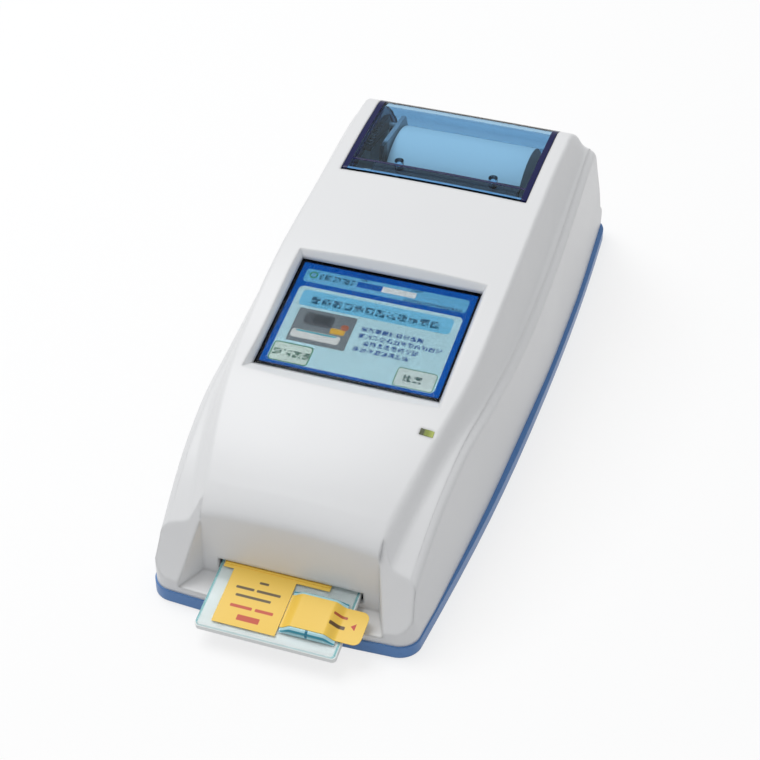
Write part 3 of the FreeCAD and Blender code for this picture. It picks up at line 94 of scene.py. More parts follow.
def srgb(r, g, b):
    """Linear colour of a screen colour given from 0 to 255."""
    out = []
    for value in (r, g, b):
        share = value / 255
        out.append(share / 12.92 if share <= 0.04045 else ((share + 0.055) / 1.055) ** 2.4)
    return (*out, 1.0)


# Node helpers
def feed(tree, socket, value):
    """Sets a socket to a plain value, or links another node's output to it."""
    if isinstance(value, (int, float, tuple)):
        socket.default_value = value
    else:
        tree.links.new(value, socket)


def math_node(tree, operation, a, b=None, clamp=False):
    """Math on numbers or outputs."""
    node = tree.nodes.new("ShaderNodeMath")
    node.operation = operation
    node.use_clamp = clamp
    for socket, value in zip(node.inputs, (a, b)):
        if value is not None:
            feed(tree, socket, value)
    return node.outputs[0]


def vector_node(tree, operation, a, b=None):
    """Math on vectors: a length comes out as a number, anything else as a vector."""
    node = tree.nodes.new("ShaderNodeVectorMath")
    node.operation = operation
    for socket, value in zip(node.inputs, (a, b)):
        if value is not None:
            feed(tree, socket, value)
    return node.outputs["Value"] if operation == "LENGTH" else node.outputs["Vector"]


def noise_node(tree, place, scale, detail):
    """Soft noise over a place."""
    node = tree.nodes.new("ShaderNodeTexNoise")
    feed(tree, node.inputs["Vector"], place)
    feed(tree, node.inputs["Scale"], scale)
    feed(tree, node.inputs["Detail"], detail)
    return node.outputs["Fac"]


def along(tree, place, axis):
    """One coordinate of a place."""
    parts = tree.nodes.new("ShaderNodeSeparateXYZ")
    tree.links.new(place, parts.inputs["Vector"])
    return parts.outputs[axis]


def between(tree, value, low, high):
    """Share from 0 to 1 as a value goes from low to high."""
    node = tree.nodes.new("ShaderNodeMapRange")
    node.inputs["From Min"].default_value = low
    node.inputs["From Max"].default_value = high
    tree.links.new(value, node.inputs["Value"])
    return node.outputs["Result"]


def paint(tree, under, mask, colour):
    """One colour laid over another where a mask says so."""
    node = tree.nodes.new("ShaderNodeMix")
    node.data_type = "RGBA"
    for label, value in (("Factor", mask), ("A", under), ("B", colour)):
        feed(tree, node.inputs[label], value)
    return node.outputs["Result"]


def rays(tree, *kinds):
    """One on any of the named kinds of ray, else nought."""
    path = tree.nodes.new("ShaderNodeLightPath")
    share = path.outputs[kinds[0]]
    for kind in kinds[1:]:
        share = math_node(tree, "MAXIMUM", share, path.outputs[kind])
    return share


def end_in_mix(tree, share, first, second):
    """Ends a material in two shaders, the second by the given share."""
    mix = tree.nodes.new("ShaderNodeMixShader")
    tree.links.new(share, mix.inputs[0])
    tree.links.new(first.outputs[0], mix.inputs[1])
    tree.links.new(second.outputs[0], mix.inputs[2])
    tree.links.new(mix.outputs[0], tree.nodes["Material Output"].inputs["Surface"])


# Shader groups
def new_group(name, inputs, outputs):
    """Empty shader group with named inputs, each with its first value, and named outputs."""
    group = bpy.data.node_groups.new(name, "ShaderNodeTree")
    for label, kind, default in inputs:
        socket = group.interface.new_socket(name=label, in_out="INPUT", socket_type=kind)
        socket.default_value = default
    for label, kind in outputs:
        group.interface.new_socket(name=label, in_out="OUTPUT", socket_type=kind)
    return group, group.nodes.new("NodeGroupInput"), group.nodes.new("NodeGroupOutput")


def rounded_box_group():
    """Print block: one inside a rectangle with round corners.

    The place's distance from the rectangle's core, less the corner's radius, fades from one to
    nought over the soft width.
    """
    group, given, result = new_group(
        "print_block",
        (("Place", "NodeSocketVector", (0, 0, 0)), ("Centre", "NodeSocketVector", (0, 0, 0)),
         ("Core", "NodeSocketVector", (1, 1, 0)), ("Corner", "NodeSocketFloat", 0.1),
         ("Soft", "NodeSocketFloat", 0.08)),
        (("Mask", "NodeSocketFloat"),))
    gone = vector_node(group, "SUBTRACT", given.outputs["Place"], given.outputs["Centre"])
    gone = vector_node(group, "ABSOLUTE", gone)
    outside = vector_node(group, "SUBTRACT", gone, given.outputs["Core"])
    outside = vector_node(group, "MAXIMUM", outside, (0.0, 0.0, 0.0))
    flat = vector_node(group, "MULTIPLY", outside, (1.0, 1.0, 0.0))
    reach = math_node(group, "SUBTRACT", vector_node(group, "LENGTH", flat),
                      given.outputs["Corner"])
    share = math_node(group, "DIVIDE", reach, given.outputs["Soft"])
    mask = math_node(group, "SUBTRACT", 0.5, share, clamp=True)
    group.links.new(mask, result.inputs["Mask"])
    return group


def writing_group():
    """Row of made-up marks: small cells filled at random, with a gap after each sign's width."""
    group, given, result = new_group(
        "marks_row",
        (("Place", "NodeSocketVector", (0, 0, 0)), ("Cell", "NodeSocketFloat", 0.4),
         ("Pitch", "NodeSocketFloat", 3.0), ("Fill", "NodeSocketFloat", 0.8)),
        (("Mask", "NodeSocketFloat"),))
    scaled = group.nodes.new("ShaderNodeVectorMath")
    scaled.operation = "SCALE"
    group.links.new(given.outputs["Place"], scaled.inputs[0])
    cells_a_mm = math_node(group, "DIVIDE", 1.0, given.outputs["Cell"])
    group.links.new(cells_a_mm, scaled.inputs["Scale"])
    cell = vector_node(group, "FLOOR", scaled.outputs["Vector"])
    cell = vector_node(group, "MULTIPLY", cell, (1.0, 1.0, 0.0))
    noise = group.nodes.new("ShaderNodeTexWhiteNoise")
    noise.noise_dimensions = "3D"
    group.links.new(cell, noise.inputs["Vector"])
    ink = math_node(group, "GREATER_THAN", noise.outputs["Value"], BARE_CELLS)
    signs = math_node(group, "DIVIDE", along(group, given.outputs["Place"], "X"),
                      given.outputs["Pitch"])
    sign = math_node(group, "LESS_THAN", math_node(group, "FRACT", signs), given.outputs["Fill"])
    group.links.new(math_node(group, "MULTIPLY", ink, sign), result.inputs["Mask"])
    return group


def tone_and_gloss(group, given, result, value, field):
    """Scales the given colour by a value, and spreads the gloss between its limits by a field."""
    tone = group.nodes.new("ShaderNodeHueSaturation")
    group.links.new(value, tone.inputs["Value"])
    group.links.new(given.outputs["Color"], tone.inputs["Color"])
    gloss = group.nodes.new("ShaderNodeMapRange")
    group.links.new(field, gloss.inputs["Value"])
    gloss.inputs["From Min"].default_value = NOISE_LOW
    gloss.inputs["From Max"].default_value = NOISE_HIGH
    group.links.new(given.outputs["Gloss Low"], gloss.inputs["To Min"])
    group.links.new(given.outputs["Gloss High"], gloss.inputs["To Max"])
    group.links.new(tone.outputs["Color"], result.inputs["Color"])
    group.links.new(gloss.outputs["Result"], result.inputs["Roughness"])


FINISH_OUTPUTS = (("Color", "NodeSocketColor"), ("Roughness", "NodeSocketFloat"),
                  ("Height", "NodeSocketFloat"))


def moulded_group():
    """Moulded plastic: a fine grain for the bump, with a slow drift of tone and gloss."""
    group, given, result = new_group(
        "moulded_plastic",
        (("Color", "NodeSocketColor", (0.8, 0.8, 0.8, 1)), ("Drift", "NodeSocketFloat", 0.02),
         ("Grain Scale", "NodeSocketFloat", 2500.0), ("Gloss Low", "NodeSocketFloat", 0.3),
         ("Gloss High", "NodeSocketFloat", 0.4)),
        FINISH_OUTPUTS)
    place = group.nodes.new("ShaderNodeTexCoord").outputs["Object"]
    grain = noise_node(group, place, given.outputs["Grain Scale"], 2.0)
    slow = noise_node(group, place, DRIFT_SCALE, 4.0)
    lean = math_node(group, "SUBTRACT", slow, 0.5)
    shift = math_node(group, "MULTIPLY", lean, given.outputs["Drift"])
    tone_and_gloss(group, given, result, math_node(group, "ADD", shift, 1.0), slow)
    group.links.new(grain, result.inputs["Height"])
    return group


def brushed_group():
    """Worked metal: streaks along one direction for tone, gloss and bump."""
    group, given, result = new_group(
        "worked_metal",
        (("Color", "NodeSocketColor", (0.6, 0.6, 0.6, 1)), ("Streak", "NodeSocketVector", STREAK),
         ("Gloss Low", "NodeSocketFloat", 0.2), ("Gloss High", "NodeSocketFloat", 0.45)),
        FINISH_OUTPUTS)
    place = group.nodes.new("ShaderNodeTexCoord").outputs["Object"]
    scaled = vector_node(group, "MULTIPLY", place, given.outputs["Streak"])
    streak = noise_node(group, scaled, 1.0, 3.0)
    added = math_node(group, "MULTIPLY", streak, STREAK_SPAN)
    tone_and_gloss(group, given, result, math_node(group, "ADD", added, STREAK_TONE), streak)
    group.links.new(streak, result.inputs["Height"])
    return group


MOULDED = moulded_group()
WORKED = brushed_group()
BLOCK = rounded_box_group()
MARKS = writing_group()


# Finishes
def material(name, group, values, bump=0.1, soft_edge=0.0, **sockets):
    """A Principled material whose colour, gloss and bump come from a shared group."""
    made = bpy.data.materials.new(name)
    made.use_nodes = True
    tree = made.node_tree
    shader = tree.nodes["Principled BSDF"]
    effect = tree.nodes.new("ShaderNodeGroup")
    effect.node_tree = group
    for label, value in values.items():
        effect.inputs[label].default_value = value
    tree.links.new(effect.outputs["Color"], shader.inputs["Base Color"])
    tree.links.new(effect.outputs["Roughness"], shader.inputs["Roughness"])
    relief = tree.nodes.new("ShaderNodeBump")
    relief.inputs["Strength"].default_value = bump
    relief.inputs["Distance"].default_value = RELIEF
    tree.links.new(effect.outputs["Height"], relief.inputs["Height"])
    if soft_edge:
        rounded = tree.nodes.new("ShaderNodeBevel")
        rounded.inputs["Radius"].default_value = soft_edge
        rounded.samples = EDGE_SAMPLES
        tree.links.new(rounded.outputs["Normal"], relief.inputs["Normal"])
    tree.links.new(relief.outputs["Normal"], shader.inputs["Normal"])
    for label, value in sockets.items():
        shader.inputs[label.replace("_", " ")].default_value = value
    return made


def plastic(name, colour, drift=0.03, low=0.3, high=0.42, scale=2500.0, **more):
    """Moulded plastic, paper or rubber: its colour, and its gloss from low to high."""
    values = {"Color": colour, "Drift": drift, "Grain Scale": scale,
              "Gloss Low": low, "Gloss High": high}
    return material(name, MOULDED, values, **more)


def clear(name, colour, drift, gloss, bending):
    """Clear moulding: smooth up to a gloss limit, with its own index of refraction."""
    return plastic(name, colour, drift=drift, low=0.0, high=gloss, bump=0.0,
                   Transmission_Weight=1.0, IOR=bending)


def metal(name, colour, low=0.22, high=0.45):
    """Worked metal."""
    values = {"Color": colour, "Gloss Low": low, "Gloss High": high}
    return material(name, WORKED, values, Metallic=1.0)


def placed(tree, origin=(0.0, 0.0, 0.0), tilt=0.0):
    """Millimetres in a plane of the object's own, turned about X by its tilt."""
    coords = tree.nodes.new("ShaderNodeTexCoord")
    mapping = tree.nodes.new("ShaderNodeMapping")
    mapping.vector_type = "TEXTURE"
    mapping.inputs["Location"].default_value = tuple(v * MM for v in origin)
    mapping.inputs["Rotation"].default_value = (tilt, 0.0, 0.0)
    mapping.inputs["Scale"].default_value = (MM, MM, MM)
    tree.links.new(coords.outputs["Object"], mapping.inputs["Vector"])
    return mapping.outputs["Vector"]


def block(tree, place, left, right, low, high, corner=0.15, soft=0.12):
    """Mask of a rectangle with round corners, in the place's millimetres."""
    node = tree.nodes.new("ShaderNodeGroup")
    node.node_tree = BLOCK
    tree.links.new(place, node.inputs["Place"])
    node.inputs["Centre"].default_value = ((left + right) / 2, (low + high) / 2, 0.0)
    node.inputs["Core"].default_value = ((right - left) / 2 - corner, (high - low) / 2 - corner, 0)
    node.inputs["Corner"].default_value = corner
    node.inputs["Soft"].default_value = soft
    return node.outputs["Mask"]


def marks(tree, place, left, right, low, high, cell, pitch, fill=0.82):
    """Mask of a row of made-up marks inside a sharp-cornered rectangle."""
    node = tree.nodes.new("ShaderNodeGroup")
    node.node_tree = MARKS
    tree.links.new(place, node.inputs["Place"])
    node.inputs["Cell"].default_value = cell
    node.inputs["Pitch"].default_value = pitch
    node.inputs["Fill"].default_value = fill
    row = block(tree, place, left, right, low, high, 0.02, 0.05)
    return math_node(tree, "MULTIPLY", node.outputs["Mask"], row)


def own_colour(made):
    """The colour that a finish's shared group gives it."""
    effect = next(node for node in made.node_tree.nodes if node.type == "GROUP")
    return effect.outputs["Color"]


def recolour(made, tone):
    """Gives a finish a pattern in place of its plain colour."""
    tree = made.node_tree
    tree.links.new(tone, tree.nodes["Principled BSDF"].inputs["Base Color"])


def see_through(made, shade):
    """Lets light through to what lies under a clear moulding, in the moulding's own tint."""
    tree = made.node_tree
    passing = rays(tree, "Is Shadow Ray", "Is Diffuse Ray")
    tinted = tree.nodes.new("ShaderNodeBsdfTransparent")
    tinted.inputs["Color"].default_value = shade
    end_in_mix(tree, passing, tree.nodes["Principled BSDF"], tinted)
    return made


# What the display shows: left, right, low, high, corner in screen millimetres, and its colour
DISPLAY_BLOCKS = (
    (-33.4, 33.2, 16.4, 23.2, 1.4, srgb(104, 182, 226)),
    (-11.9, 12.2, 18.7, 21.5, 0.2, srgb(228, 236, 238)),
    (-11.9, -1.6, 18.7, 21.5, 0.2, srgb(22, 96, 186)),
    (-31.8, -28.2, 18.6, 22.2, 1.8, srgb(62, 148, 120)),
    (-31.1, -28.9, 19.3, 21.5, 1.1, srgb(104, 170, 214)),
    (-33.3, 33.3, -24.7, 14.1, 2.2, srgb(188, 229, 240)),
    (-31.0, 30.4, 4.4, 12.5, 1.8, srgb(118, 198, 236)),
    (-29.4, -5.8, -13.7, 3.2, 0.3, srgb(120, 131, 138)),
    (-26.0, -14.0, -4.5, 1.6, 1.6, srgb(84, 92, 98)),
    (-22.5, -15.5, -3.2, 0.6, 0.6, srgb(60, 66, 72)),
    (-28.6, -9.0, -11.6, -7.4, 1.4, srgb(222, 227, 226)),
    (-27.0, -10.6, -8.4, -7.6, 0.3, srgb(60, 170, 186)),
    (-14.2, -8.4, -6.6, -3.8, 0.5, srgb(222, 178, 70)),
    (-10.8, -7.6, -4.0, -1.2, 1.2, srgb(176, 112, 92)),
    (-33.0, -17.0, -24.6, -15.0, 1.4, srgb(70, 136, 104)),
    (-32.5, -17.5, -24.1, -15.5, 1.0, srgb(206, 226, 218)),
    (16.7, 32.6, -24.5, -15.3, 1.4, srgb(104, 156, 132)),
    (17.1, 32.2, -24.1, -15.7, 1.0, srgb(210, 228, 226)),
)
# Rows of made-up marks on the display: left, right, low, high, cell, pitch and colour
DISPLAY_MARKS = (
    (-27.36, -12.96, 18.72, 21.6, 0.72, 3.6, srgb(26, 70, 96)),
    (8.0, 32.0, 16.4, 18.0, 0.4, 1.6, srgb(22, 54, 96)),
    (-11.2, -8.0, 22.0, 23.2, 0.4, 1.6, srgb(22, 54, 96)),
    (9.6, 14.4, 22.0, 23.2, 0.4, 1.6, srgb(22, 54, 96)),
    (-26.4, 26.4, 6.16, 9.68, 0.88, 4.4, srgb(20, 66, 98)),
    (-2.8, 22.4, -2.24, 0.0, 0.56, 2.8, srgb(18, 66, 150)),
    (-2.8, 30.8, -5.6, -3.36, 0.56, 2.8, srgb(18, 66, 150)),
    (0.0, 22.4, -8.96, -6.72, 0.56, 2.8, srgb(18, 66, 150)),
    (-2.8, 19.6, -12.32, -10.08, 0.56, 2.8, srgb(18, 66, 150)),
    (-32.0, -17.6, -21.6, -18.4, 0.8, 4.0, srgb(44, 96, 80)),
    (20.0, 27.2, -21.6, -18.4, 0.8, 4.0, srgb(44, 84, 84)),
)
# The lit area: half its width and height, its corner, and how far under the plane it goes
LIT_WIDE, LIT_HIGH, LIT_CORNER, LIT_DEPTH = 35.6, 26.1, 0.4, -0.3
# How much of the picture is paint under the room's light, and how strongly it glows of its own
PICTURE_PAINT, PICTURE_GLOW = 0.55, 0.72
BLUE_DRIFT_SCALE = 0.03


def display_material():
    """Display: a lit picture of blocks and marks on its front, and a dark frame round it."""
    made = plastic("display", (0.006, 0.0065, 0.008, 1), low=0.35, high=0.45)
    tree = made.node_tree
    place = placed(tree, SCREEN_CENTRE, TILT)
    lit = math_node(tree, "MULTIPLY",
                    block(tree, place, -LIT_WIDE, LIT_WIDE, -LIT_HIGH, LIT_HIGH, LIT_CORNER),
                    math_node(tree, "GREATER_THAN", along(tree, place, "Z"), LIT_DEPTH))
    drift = noise_node(tree, place, BLUE_DRIFT_SCALE, 2.0)
    picture = paint(tree, srgb(0, 78, 172), drift, srgb(0, 96, 192))
    for left, right, low, high, corner, colour in DISPLAY_BLOCKS:
        mask = block(tree, place, left, right, low, high, corner)
        picture = paint(tree, picture, mask, colour)
    for left, right, low, high, cell, pitch, colour in DISPLAY_MARKS:
        mask = marks(tree, place, left, right, low, high, cell, pitch)
        picture = paint(tree, picture, mask, colour)
    painted = math_node(tree, "MULTIPLY", lit, PICTURE_PAINT)
    recolour(made, paint(tree, own_colour(made), painted, picture))
    shader = tree.nodes["Principled BSDF"]
    shader.inputs["Specular IOR Level"].default_value = 0.05
    shown = paint(tree, (0.0, 0.0, 0.0, 1.0), lit, picture)
    tree.links.new(shown, shader.inputs["Emission Color"])
    shader.inputs["Emission Strength"].default_value = PICTURE_GLOW
    return made


# Printed bars on the card's label: left, right, low, high in card millimetres, and colour
LABEL_BARS = (
    (-9.8, -6.2, -5.2, -4.2, srgb(98, 82, 48)),
    (-17.6, -10.6, -8.8, -7.7, srgb(98, 82, 48)),
    (-9.6, -0.4, -8.8, -7.7, srgb(98, 82, 48)),
    (-16.6, -3.0, -12.1, -11.0, srgb(98, 82, 48)),
    (-17.0, -8.6, -16.8, -15.5, srgb(202, 78, 44)),
    (-7.4, -0.4, -16.8, -15.5, srgb(202, 78, 44)),
    (-12.8, -4.2, -21.7, -19.3, srgb(202, 78, 44)),
    (21.2, 26.2, -11.0, -9.9, srgb(178, 84, 52)),
    (20.8, 26.4, -15.4, -13.9, srgb(96, 72, 44)),
)
BAR_CORNER, BAR_SOFT = 0.35, 0.2
# The tab's arrow: the line it lies on, its tip and its back, and its half width a millimetre
ARROW_LINE, ARROW_TIP, ARROW_BACK, ARROW_SPREAD = -13.2, 28.2, 30.0, 0.85


def label_material():
    """Card label and peel strip: yellow print with plain bars, and an arrow on the tab."""
    made = plastic("label_yellow", srgb(245, 204, 84), drift=0.05, low=0.32, high=0.46,
                   scale=900.0)
    tree = made.node_tree
    place = placed(tree, CARD_CENTRE, TILT)
    tone = own_colour(made)
    for left, right, low, high, colour in LABEL_BARS:
        mask = block(tree, place, left, right, low, high, BAR_CORNER, BAR_SOFT)
        tone = paint(tree, tone, mask, colour)
    x = along(tree, place, "X")
    away = math_node(tree, "ABSOLUTE",
                     math_node(tree, "SUBTRACT", along(tree, place, "Y"), ARROW_LINE))
    reach = math_node(tree, "MULTIPLY", math_node(tree, "SUBTRACT", x, ARROW_TIP), ARROW_SPREAD)
    arrow = math_node(tree, "MULTIPLY", math_node(tree, "LESS_THAN", away, reach),
                      math_node(tree, "LESS_THAN", x, ARROW_BACK))
    recolour(made, paint(tree, tone, arrow, srgb(196, 60, 44)))
    return made


def two_tones(made, start, end, behind):
    """Turns a finish's colour into another one as Y goes from start to end, in millimetres."""
    tree = made.node_tree
    share = between(tree, along(tree, placed(tree), "Y"), start, end)
    recolour(made, paint(tree, own_colour(made), share, behind))
    return made


def lid_material():
    """Blue see-through lid, a little deeper towards its thicker rear."""
    made = clear("smoke_blue", (0.50, 0.74, 0.93, 1), drift=0.03, gloss=0.02, bending=1.28)
    two_tones(made, 72.0, 84.0, (0.36, 0.58, 0.77, 1))
    return see_through(made, (0.79, 0.92, 0.985, 1))


def printer_material():
    """Printer tray: dark in front, a lighter grey tub under the paper."""
    made = plastic("printer_dark", (0.014, 0.016, 0.024, 1), soft_edge=0.0003,
                   Specular_IOR_Level=0.25)
    return two_tones(made, 65.0, 67.5, (0.30, 0.33, 0.38, 1))


# Along the status light, as shares of its width: where it starts to be lit, and to pale
LIT_START, LIT_FULL, PALE_START, PALE_FULL = 0.25, 0.4, 0.55, 0.95


def light_material():
    """Status light: a dark moulded end, then the lit green-yellow window."""
    made = plastic("light_lens", srgb(120, 128, 60), low=0.12, high=0.2, bump=0.0)
    tree = made.node_tree
    low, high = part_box("status_light_pipe")
    left = low[0] / MM
    wide = (high[0] - low[0]) / MM
    x = along(tree, placed(tree), "X")
    lit = between(tree, x, left + LIT_START * wide, left + LIT_FULL * wide)
    pale = between(tree, x, left + PALE_START * wide, left + PALE_FULL * wide)
    tone = paint(tree, srgb(70, 76, 40), lit, srgb(128, 142, 52))
    recolour(made, paint(tree, tone, pale, srgb(176, 188, 96)))
    return made


# The cover's teal edge: its width, its inner corner, how soft it is, and a line beyond its rear
EDGE_WIDE, EDGE_CORNER, EDGE_SOFT, BEYOND_REAR = 0.7, 1.2, 0.5, 60.0


def cover_material():
    """Clear card cover: nearly white from above, a deeper teal along its edges."""
    made = clear("card_aqua", srgb(244, 251, 252), drift=0.03, gloss=0.02, bending=1.3)
    tree = made.node_tree
    low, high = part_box("card_cover")
    front = (low[1] / MM - CARD_CENTRE[1]) / math.cos(TILT)
    inner = block(tree, placed(tree, CARD_CENTRE, TILT), low[0] / MM + EDGE_WIDE,
                  high[0] / MM - EDGE_WIDE, front + EDGE_WIDE, BEYOND_REAR, EDGE_CORNER, EDGE_SOFT)
    recolour(made, paint(tree, srgb(120, 196, 204), inner, own_colour(made)))
    return see_through(made, (0.965, 0.99, 0.99, 1))


def glass_material():
    """Touch panel's glass, kept faint so that the picture under it stays sharp."""
    made = clear("screen_glass", (0.97, 0.985, 1.0, 1), drift=0.01, gloss=0.006, bending=1.09)
    return see_through(made, (0.95, 0.97, 0.98, 1))


FINISHES = {
    "casing_white": plastic("casing_white", (0.785, 0.79, 0.795, 1), drift=0.012,
                            low=0.3, high=0.38, bump=0.05, soft_edge=0.002),
    "base_blue": plastic("base_blue", srgb(84, 132, 192), low=0.3, high=0.4, soft_edge=0.0006),
    "smoke_blue": lid_material(),
    "dark_plastic": plastic("dark_plastic", (0.018, 0.02, 0.027, 1), soft_edge=0.0003,
                            Specular_IOR_Level=0.25),
    "grey_plastic": plastic("grey_plastic", (0.16, 0.165, 0.17, 1), soft_edge=0.0003),
    "black_plastic": plastic("black_plastic", (0.012, 0.012, 0.014, 1), low=0.22, high=0.3,
                             soft_edge=0.0003),
    "rubber": plastic("rubber", (0.02, 0.02, 0.02, 1), low=0.6, high=0.75, scale=1500.0,
                      bump=0.3),
    "steel": metal("steel", (0.55, 0.55, 0.56, 1)),
    "aluminium": metal("aluminium", (0.7, 0.71, 0.72, 1), low=0.3, high=0.5),
    "gold": metal("gold", (0.78, 0.56, 0.22, 1), low=0.2, high=0.35),
    "board_green": plastic("board_green", (0.015, 0.12, 0.05, 1), low=0.35, high=0.5),
    "screen_glass": glass_material(),
    "card_white": plastic("card_white", (0.85, 0.87, 0.86, 1), soft_edge=0.0004),
    "card_aqua": cover_material(),
    "inlet_turquoise": plastic("inlet_turquoise", srgb(70, 170, 195), low=0.1, high=0.2),
    "label_yellow": label_material(),
    "paper": plastic("paper", (0.76, 0.77, 0.78, 1), low=0.7, high=0.85, scale=1200.0, bump=0.2),
    "card_board": plastic("card_board", (0.42, 0.33, 0.22, 1), low=0.75, high=0.9, scale=900.0,
                          bump=0.3),
    "gear_white": plastic("gear_white", (0.72, 0.71, 0.64, 1)),
    "battery_wrap": plastic("battery_wrap", (0.02, 0.09, 0.32, 1), low=0.15, high=0.25),
    "light_lens": light_material(),
}
# Nodes with a finish of their own in place of their slot's
SPECIAL = {"lcd_module": display_material(), "printer_frame": printer_material()}

slot_of = {entry["node"]: entry["material_slot"] for entry in frame["record"]["subparts"]}
for name, node in frame["nodes"].items():
    finish = SPECIAL.get(name) or FINISHES[slot_of[name]]
    node.data.materials.clear()
    node.data.materials.append(finish)


# New pieces, in card millimetres: X across, Y up the slot, Z off the card
CARD_TOP = 3.0
# The arch of the inlet and the strip over it: its middle, its half length, how far out its
# knees stand as a share of that, and its height
INLET_MIDDLE, INLET_HALF = 14.3, 10.5
KNEE_SHARE = 0.57
ARCH_HEIGHT = 2.6
# The line along which the peel strip and the inlet lie
PEEL_LINE = -13.3
# The peel strip: its two ends, half its width, its tab's corner, its thickness, and its clearance
PEEL_START, PEEL_END, PEEL_HALF = 3.5, 33.6, 7.0
TAB_CORNER = 2.8
PEEL_THICK, PEEL_GAP = 0.28, 0.02
# The inlet: its start, half its width, where its level part ends, how much of its height stays
# at its ends, its clearance, and how far it goes into the cover
INLET_START, INLET_WIDE, INLET_LEVEL = 3.8, 9.0, 7.2
INLET_RIM = 0.06
INLET_GAP, INLET_SINK = 0.01, 0.05
# The teal lines at the inlet's ends, as distances from its line: they start and stop softly
END_LINE_ON, END_LINE_OFF = (8.15, 8.3), (8.9, 8.7)
# Angles in degrees past which an edge stays sharp
SLAB_SHARP, SKIN_SHARP = 35, 28


def card_to_world(x, y, z):
    """Card millimetres to metres: a turn about X by the card's tilt, then its place."""
    cos, sin = math.cos(TILT), math.sin(TILT)
    return np.stack([x + CARD_CENTRE[0], y * cos - z * sin + CARD_CENTRE[1],
                     y * sin + z * cos + CARD_CENTRE[2]], axis=-1) * MM


def shade_smooth(mesh, sharp_degrees):
    """Smooth shading, with the edges past an angle kept sharp."""
    mesh.polygons.foreach_set("use_smooth", np.ones(len(mesh.polygons), dtype=bool))
    mesh.set_sharp_from_angle(angle=math.radians(sharp_degrees))


def slab_mesh(name, top, bottom):
    """Closed body between two grids of points: both as quads, and a wall round their rim."""
    rows, columns = top.shape[:2]
    count = rows * columns
    index = np.arange(count).reshape(rows, columns)
    quads = np.stack([index[:-1, :-1], index[1:, :-1], index[1:, 1:], index[:-1, 1:]], axis=-1)
    quads = quads.reshape(-1, 4)
    rim = np.concatenate([index[:-1, 0], index[-1, :-1], index[:0:-1, -1], index[0, :0:-1]])
    after = np.roll(rim, -1)
    wall = np.stack([rim, rim + count, after + count, after], axis=-1)
    faces = np.concatenate([quads, quads[:, ::-1] + count, wall])
    points = np.concatenate([top.reshape(-1, 3), bottom.reshape(-1, 3)])
    mesh = bpy.data.meshes.new(name)
    mesh.from_pydata(points.tolist(), [], faces.tolist())
    shade_smooth(mesh, SLAB_SHARP)
    return mesh


def add_piece(name, mesh, finishes, like, replaced):
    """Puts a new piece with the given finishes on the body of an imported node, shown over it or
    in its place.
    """
    piece = bpy.data.objects.new(name, mesh)
    bpy.context.scene.collection.objects.link(piece)
    for finish in finishes:
        mesh.materials.append(finish)
    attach(piece, body_of(frame["nodes"][like])[0])
    if replaced:
        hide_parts(like)
    return piece


def arch_height(x):
    """Low arch across the card: a smooth step from each foot to the knee, level between them."""
    slope = INLET_HALF * (1 - KNEE_SHARE)
    share = np.clip((INLET_HALF - np.abs(x - INLET_MIDDLE)) / slope, 0, 1)
    return ARCH_HEIGHT * share * share * (3 - 2 * share)


def peel_band():
    """Peel strip: the arch's height and the strip's own thickness over it.

    Its half width is even, and shrinks by a quarter circle round each of the tab's corners.
    """
    bend = PEEL_END - TAB_CORNER
    corner = bend + TAB_CORNER * np.sin(np.linspace(0, 1, 12)[1:] * math.pi / 2)
    x = np.concatenate([np.linspace(PEEL_START, bend, 110), corner])
    over = np.clip(x - bend, 0, TAB_CORNER)
    reach = PEEL_HALF - TAB_CORNER + np.sqrt(np.maximum(TAB_CORNER ** 2 - over ** 2, 0))
    y = PEEL_LINE + np.linspace(-1, 1, 13)[None, :] * reach[:, None]
    wide = np.broadcast_to(x[:, None], y.shape)
    lift = np.broadcast_to((arch_height(x) + CARD_TOP + PEEL_GAP)[:, None], y.shape)
    return slab_mesh("peel_band", card_to_world(wide, y, lift + PEEL_THICK),
                     card_to_world(wide, y, lift))


def inlet_dome():
    """Sample inlet: the same arch, brought down over its two ends by a quarter round."""
    x = np.linspace(INLET_START, INLET_MIDDLE + INLET_HALF, 64)
    level = INLET_LEVEL - 0.1
    across = np.concatenate([np.linspace(-INLET_WIDE, -INLET_LEVEL, 10),
                             np.linspace(-level, level, 9),
                             np.linspace(INLET_LEVEL, INLET_WIDE, 10)])
    fall = np.clip((np.abs(across) - INLET_LEVEL) / (INLET_WIDE - INLET_LEVEL), 0, 1)
    share = np.sqrt(np.maximum(1 - fall ** 2, 0)) * (1 - INLET_RIM) + INLET_RIM
    wide, y = np.meshgrid(x, PEEL_LINE + across, indexing="ij")
    lift = CARD_TOP + INLET_GAP + arch_height(wide) * share[None, :]
    return slab_mesh("inlet_dome", card_to_world(wide, y, lift),
                     card_to_world(wide, y, np.full_like(wide, CARD_TOP - INLET_SINK)))


def inlet_material():
    """Clear sample inlet: pale aqua, with deeper lines where its edges gather the light."""
    made = plastic("inlet_clear", srgb(176, 220, 228), drift=0.04, low=0.04, high=0.1, bump=0.05)
    tree = made.node_tree
    place = placed(tree, CARD_CENTRE, TILT)
    away = math_node(tree, "ABSOLUTE",
                     math_node(tree, "SUBTRACT", along(tree, place, "Y"), PEEL_LINE))
    line = math_node(tree, "MULTIPLY", between(tree, away, *END_LINE_ON),
                     between(tree, away, *END_LINE_OFF))
    tone = paint(tree, own_colour(made), line, srgb(46, 140, 162))
    spout = block(tree, place, INLET_MIDDLE - 0.5, INLET_MIDDLE + 0.5,
                  PEEL_LINE - 9.0, PEEL_LINE - 7.0, 0.2, 0.2)
    recolour(made, paint(tree, tone, spout, srgb(34, 122, 150)))
    return made
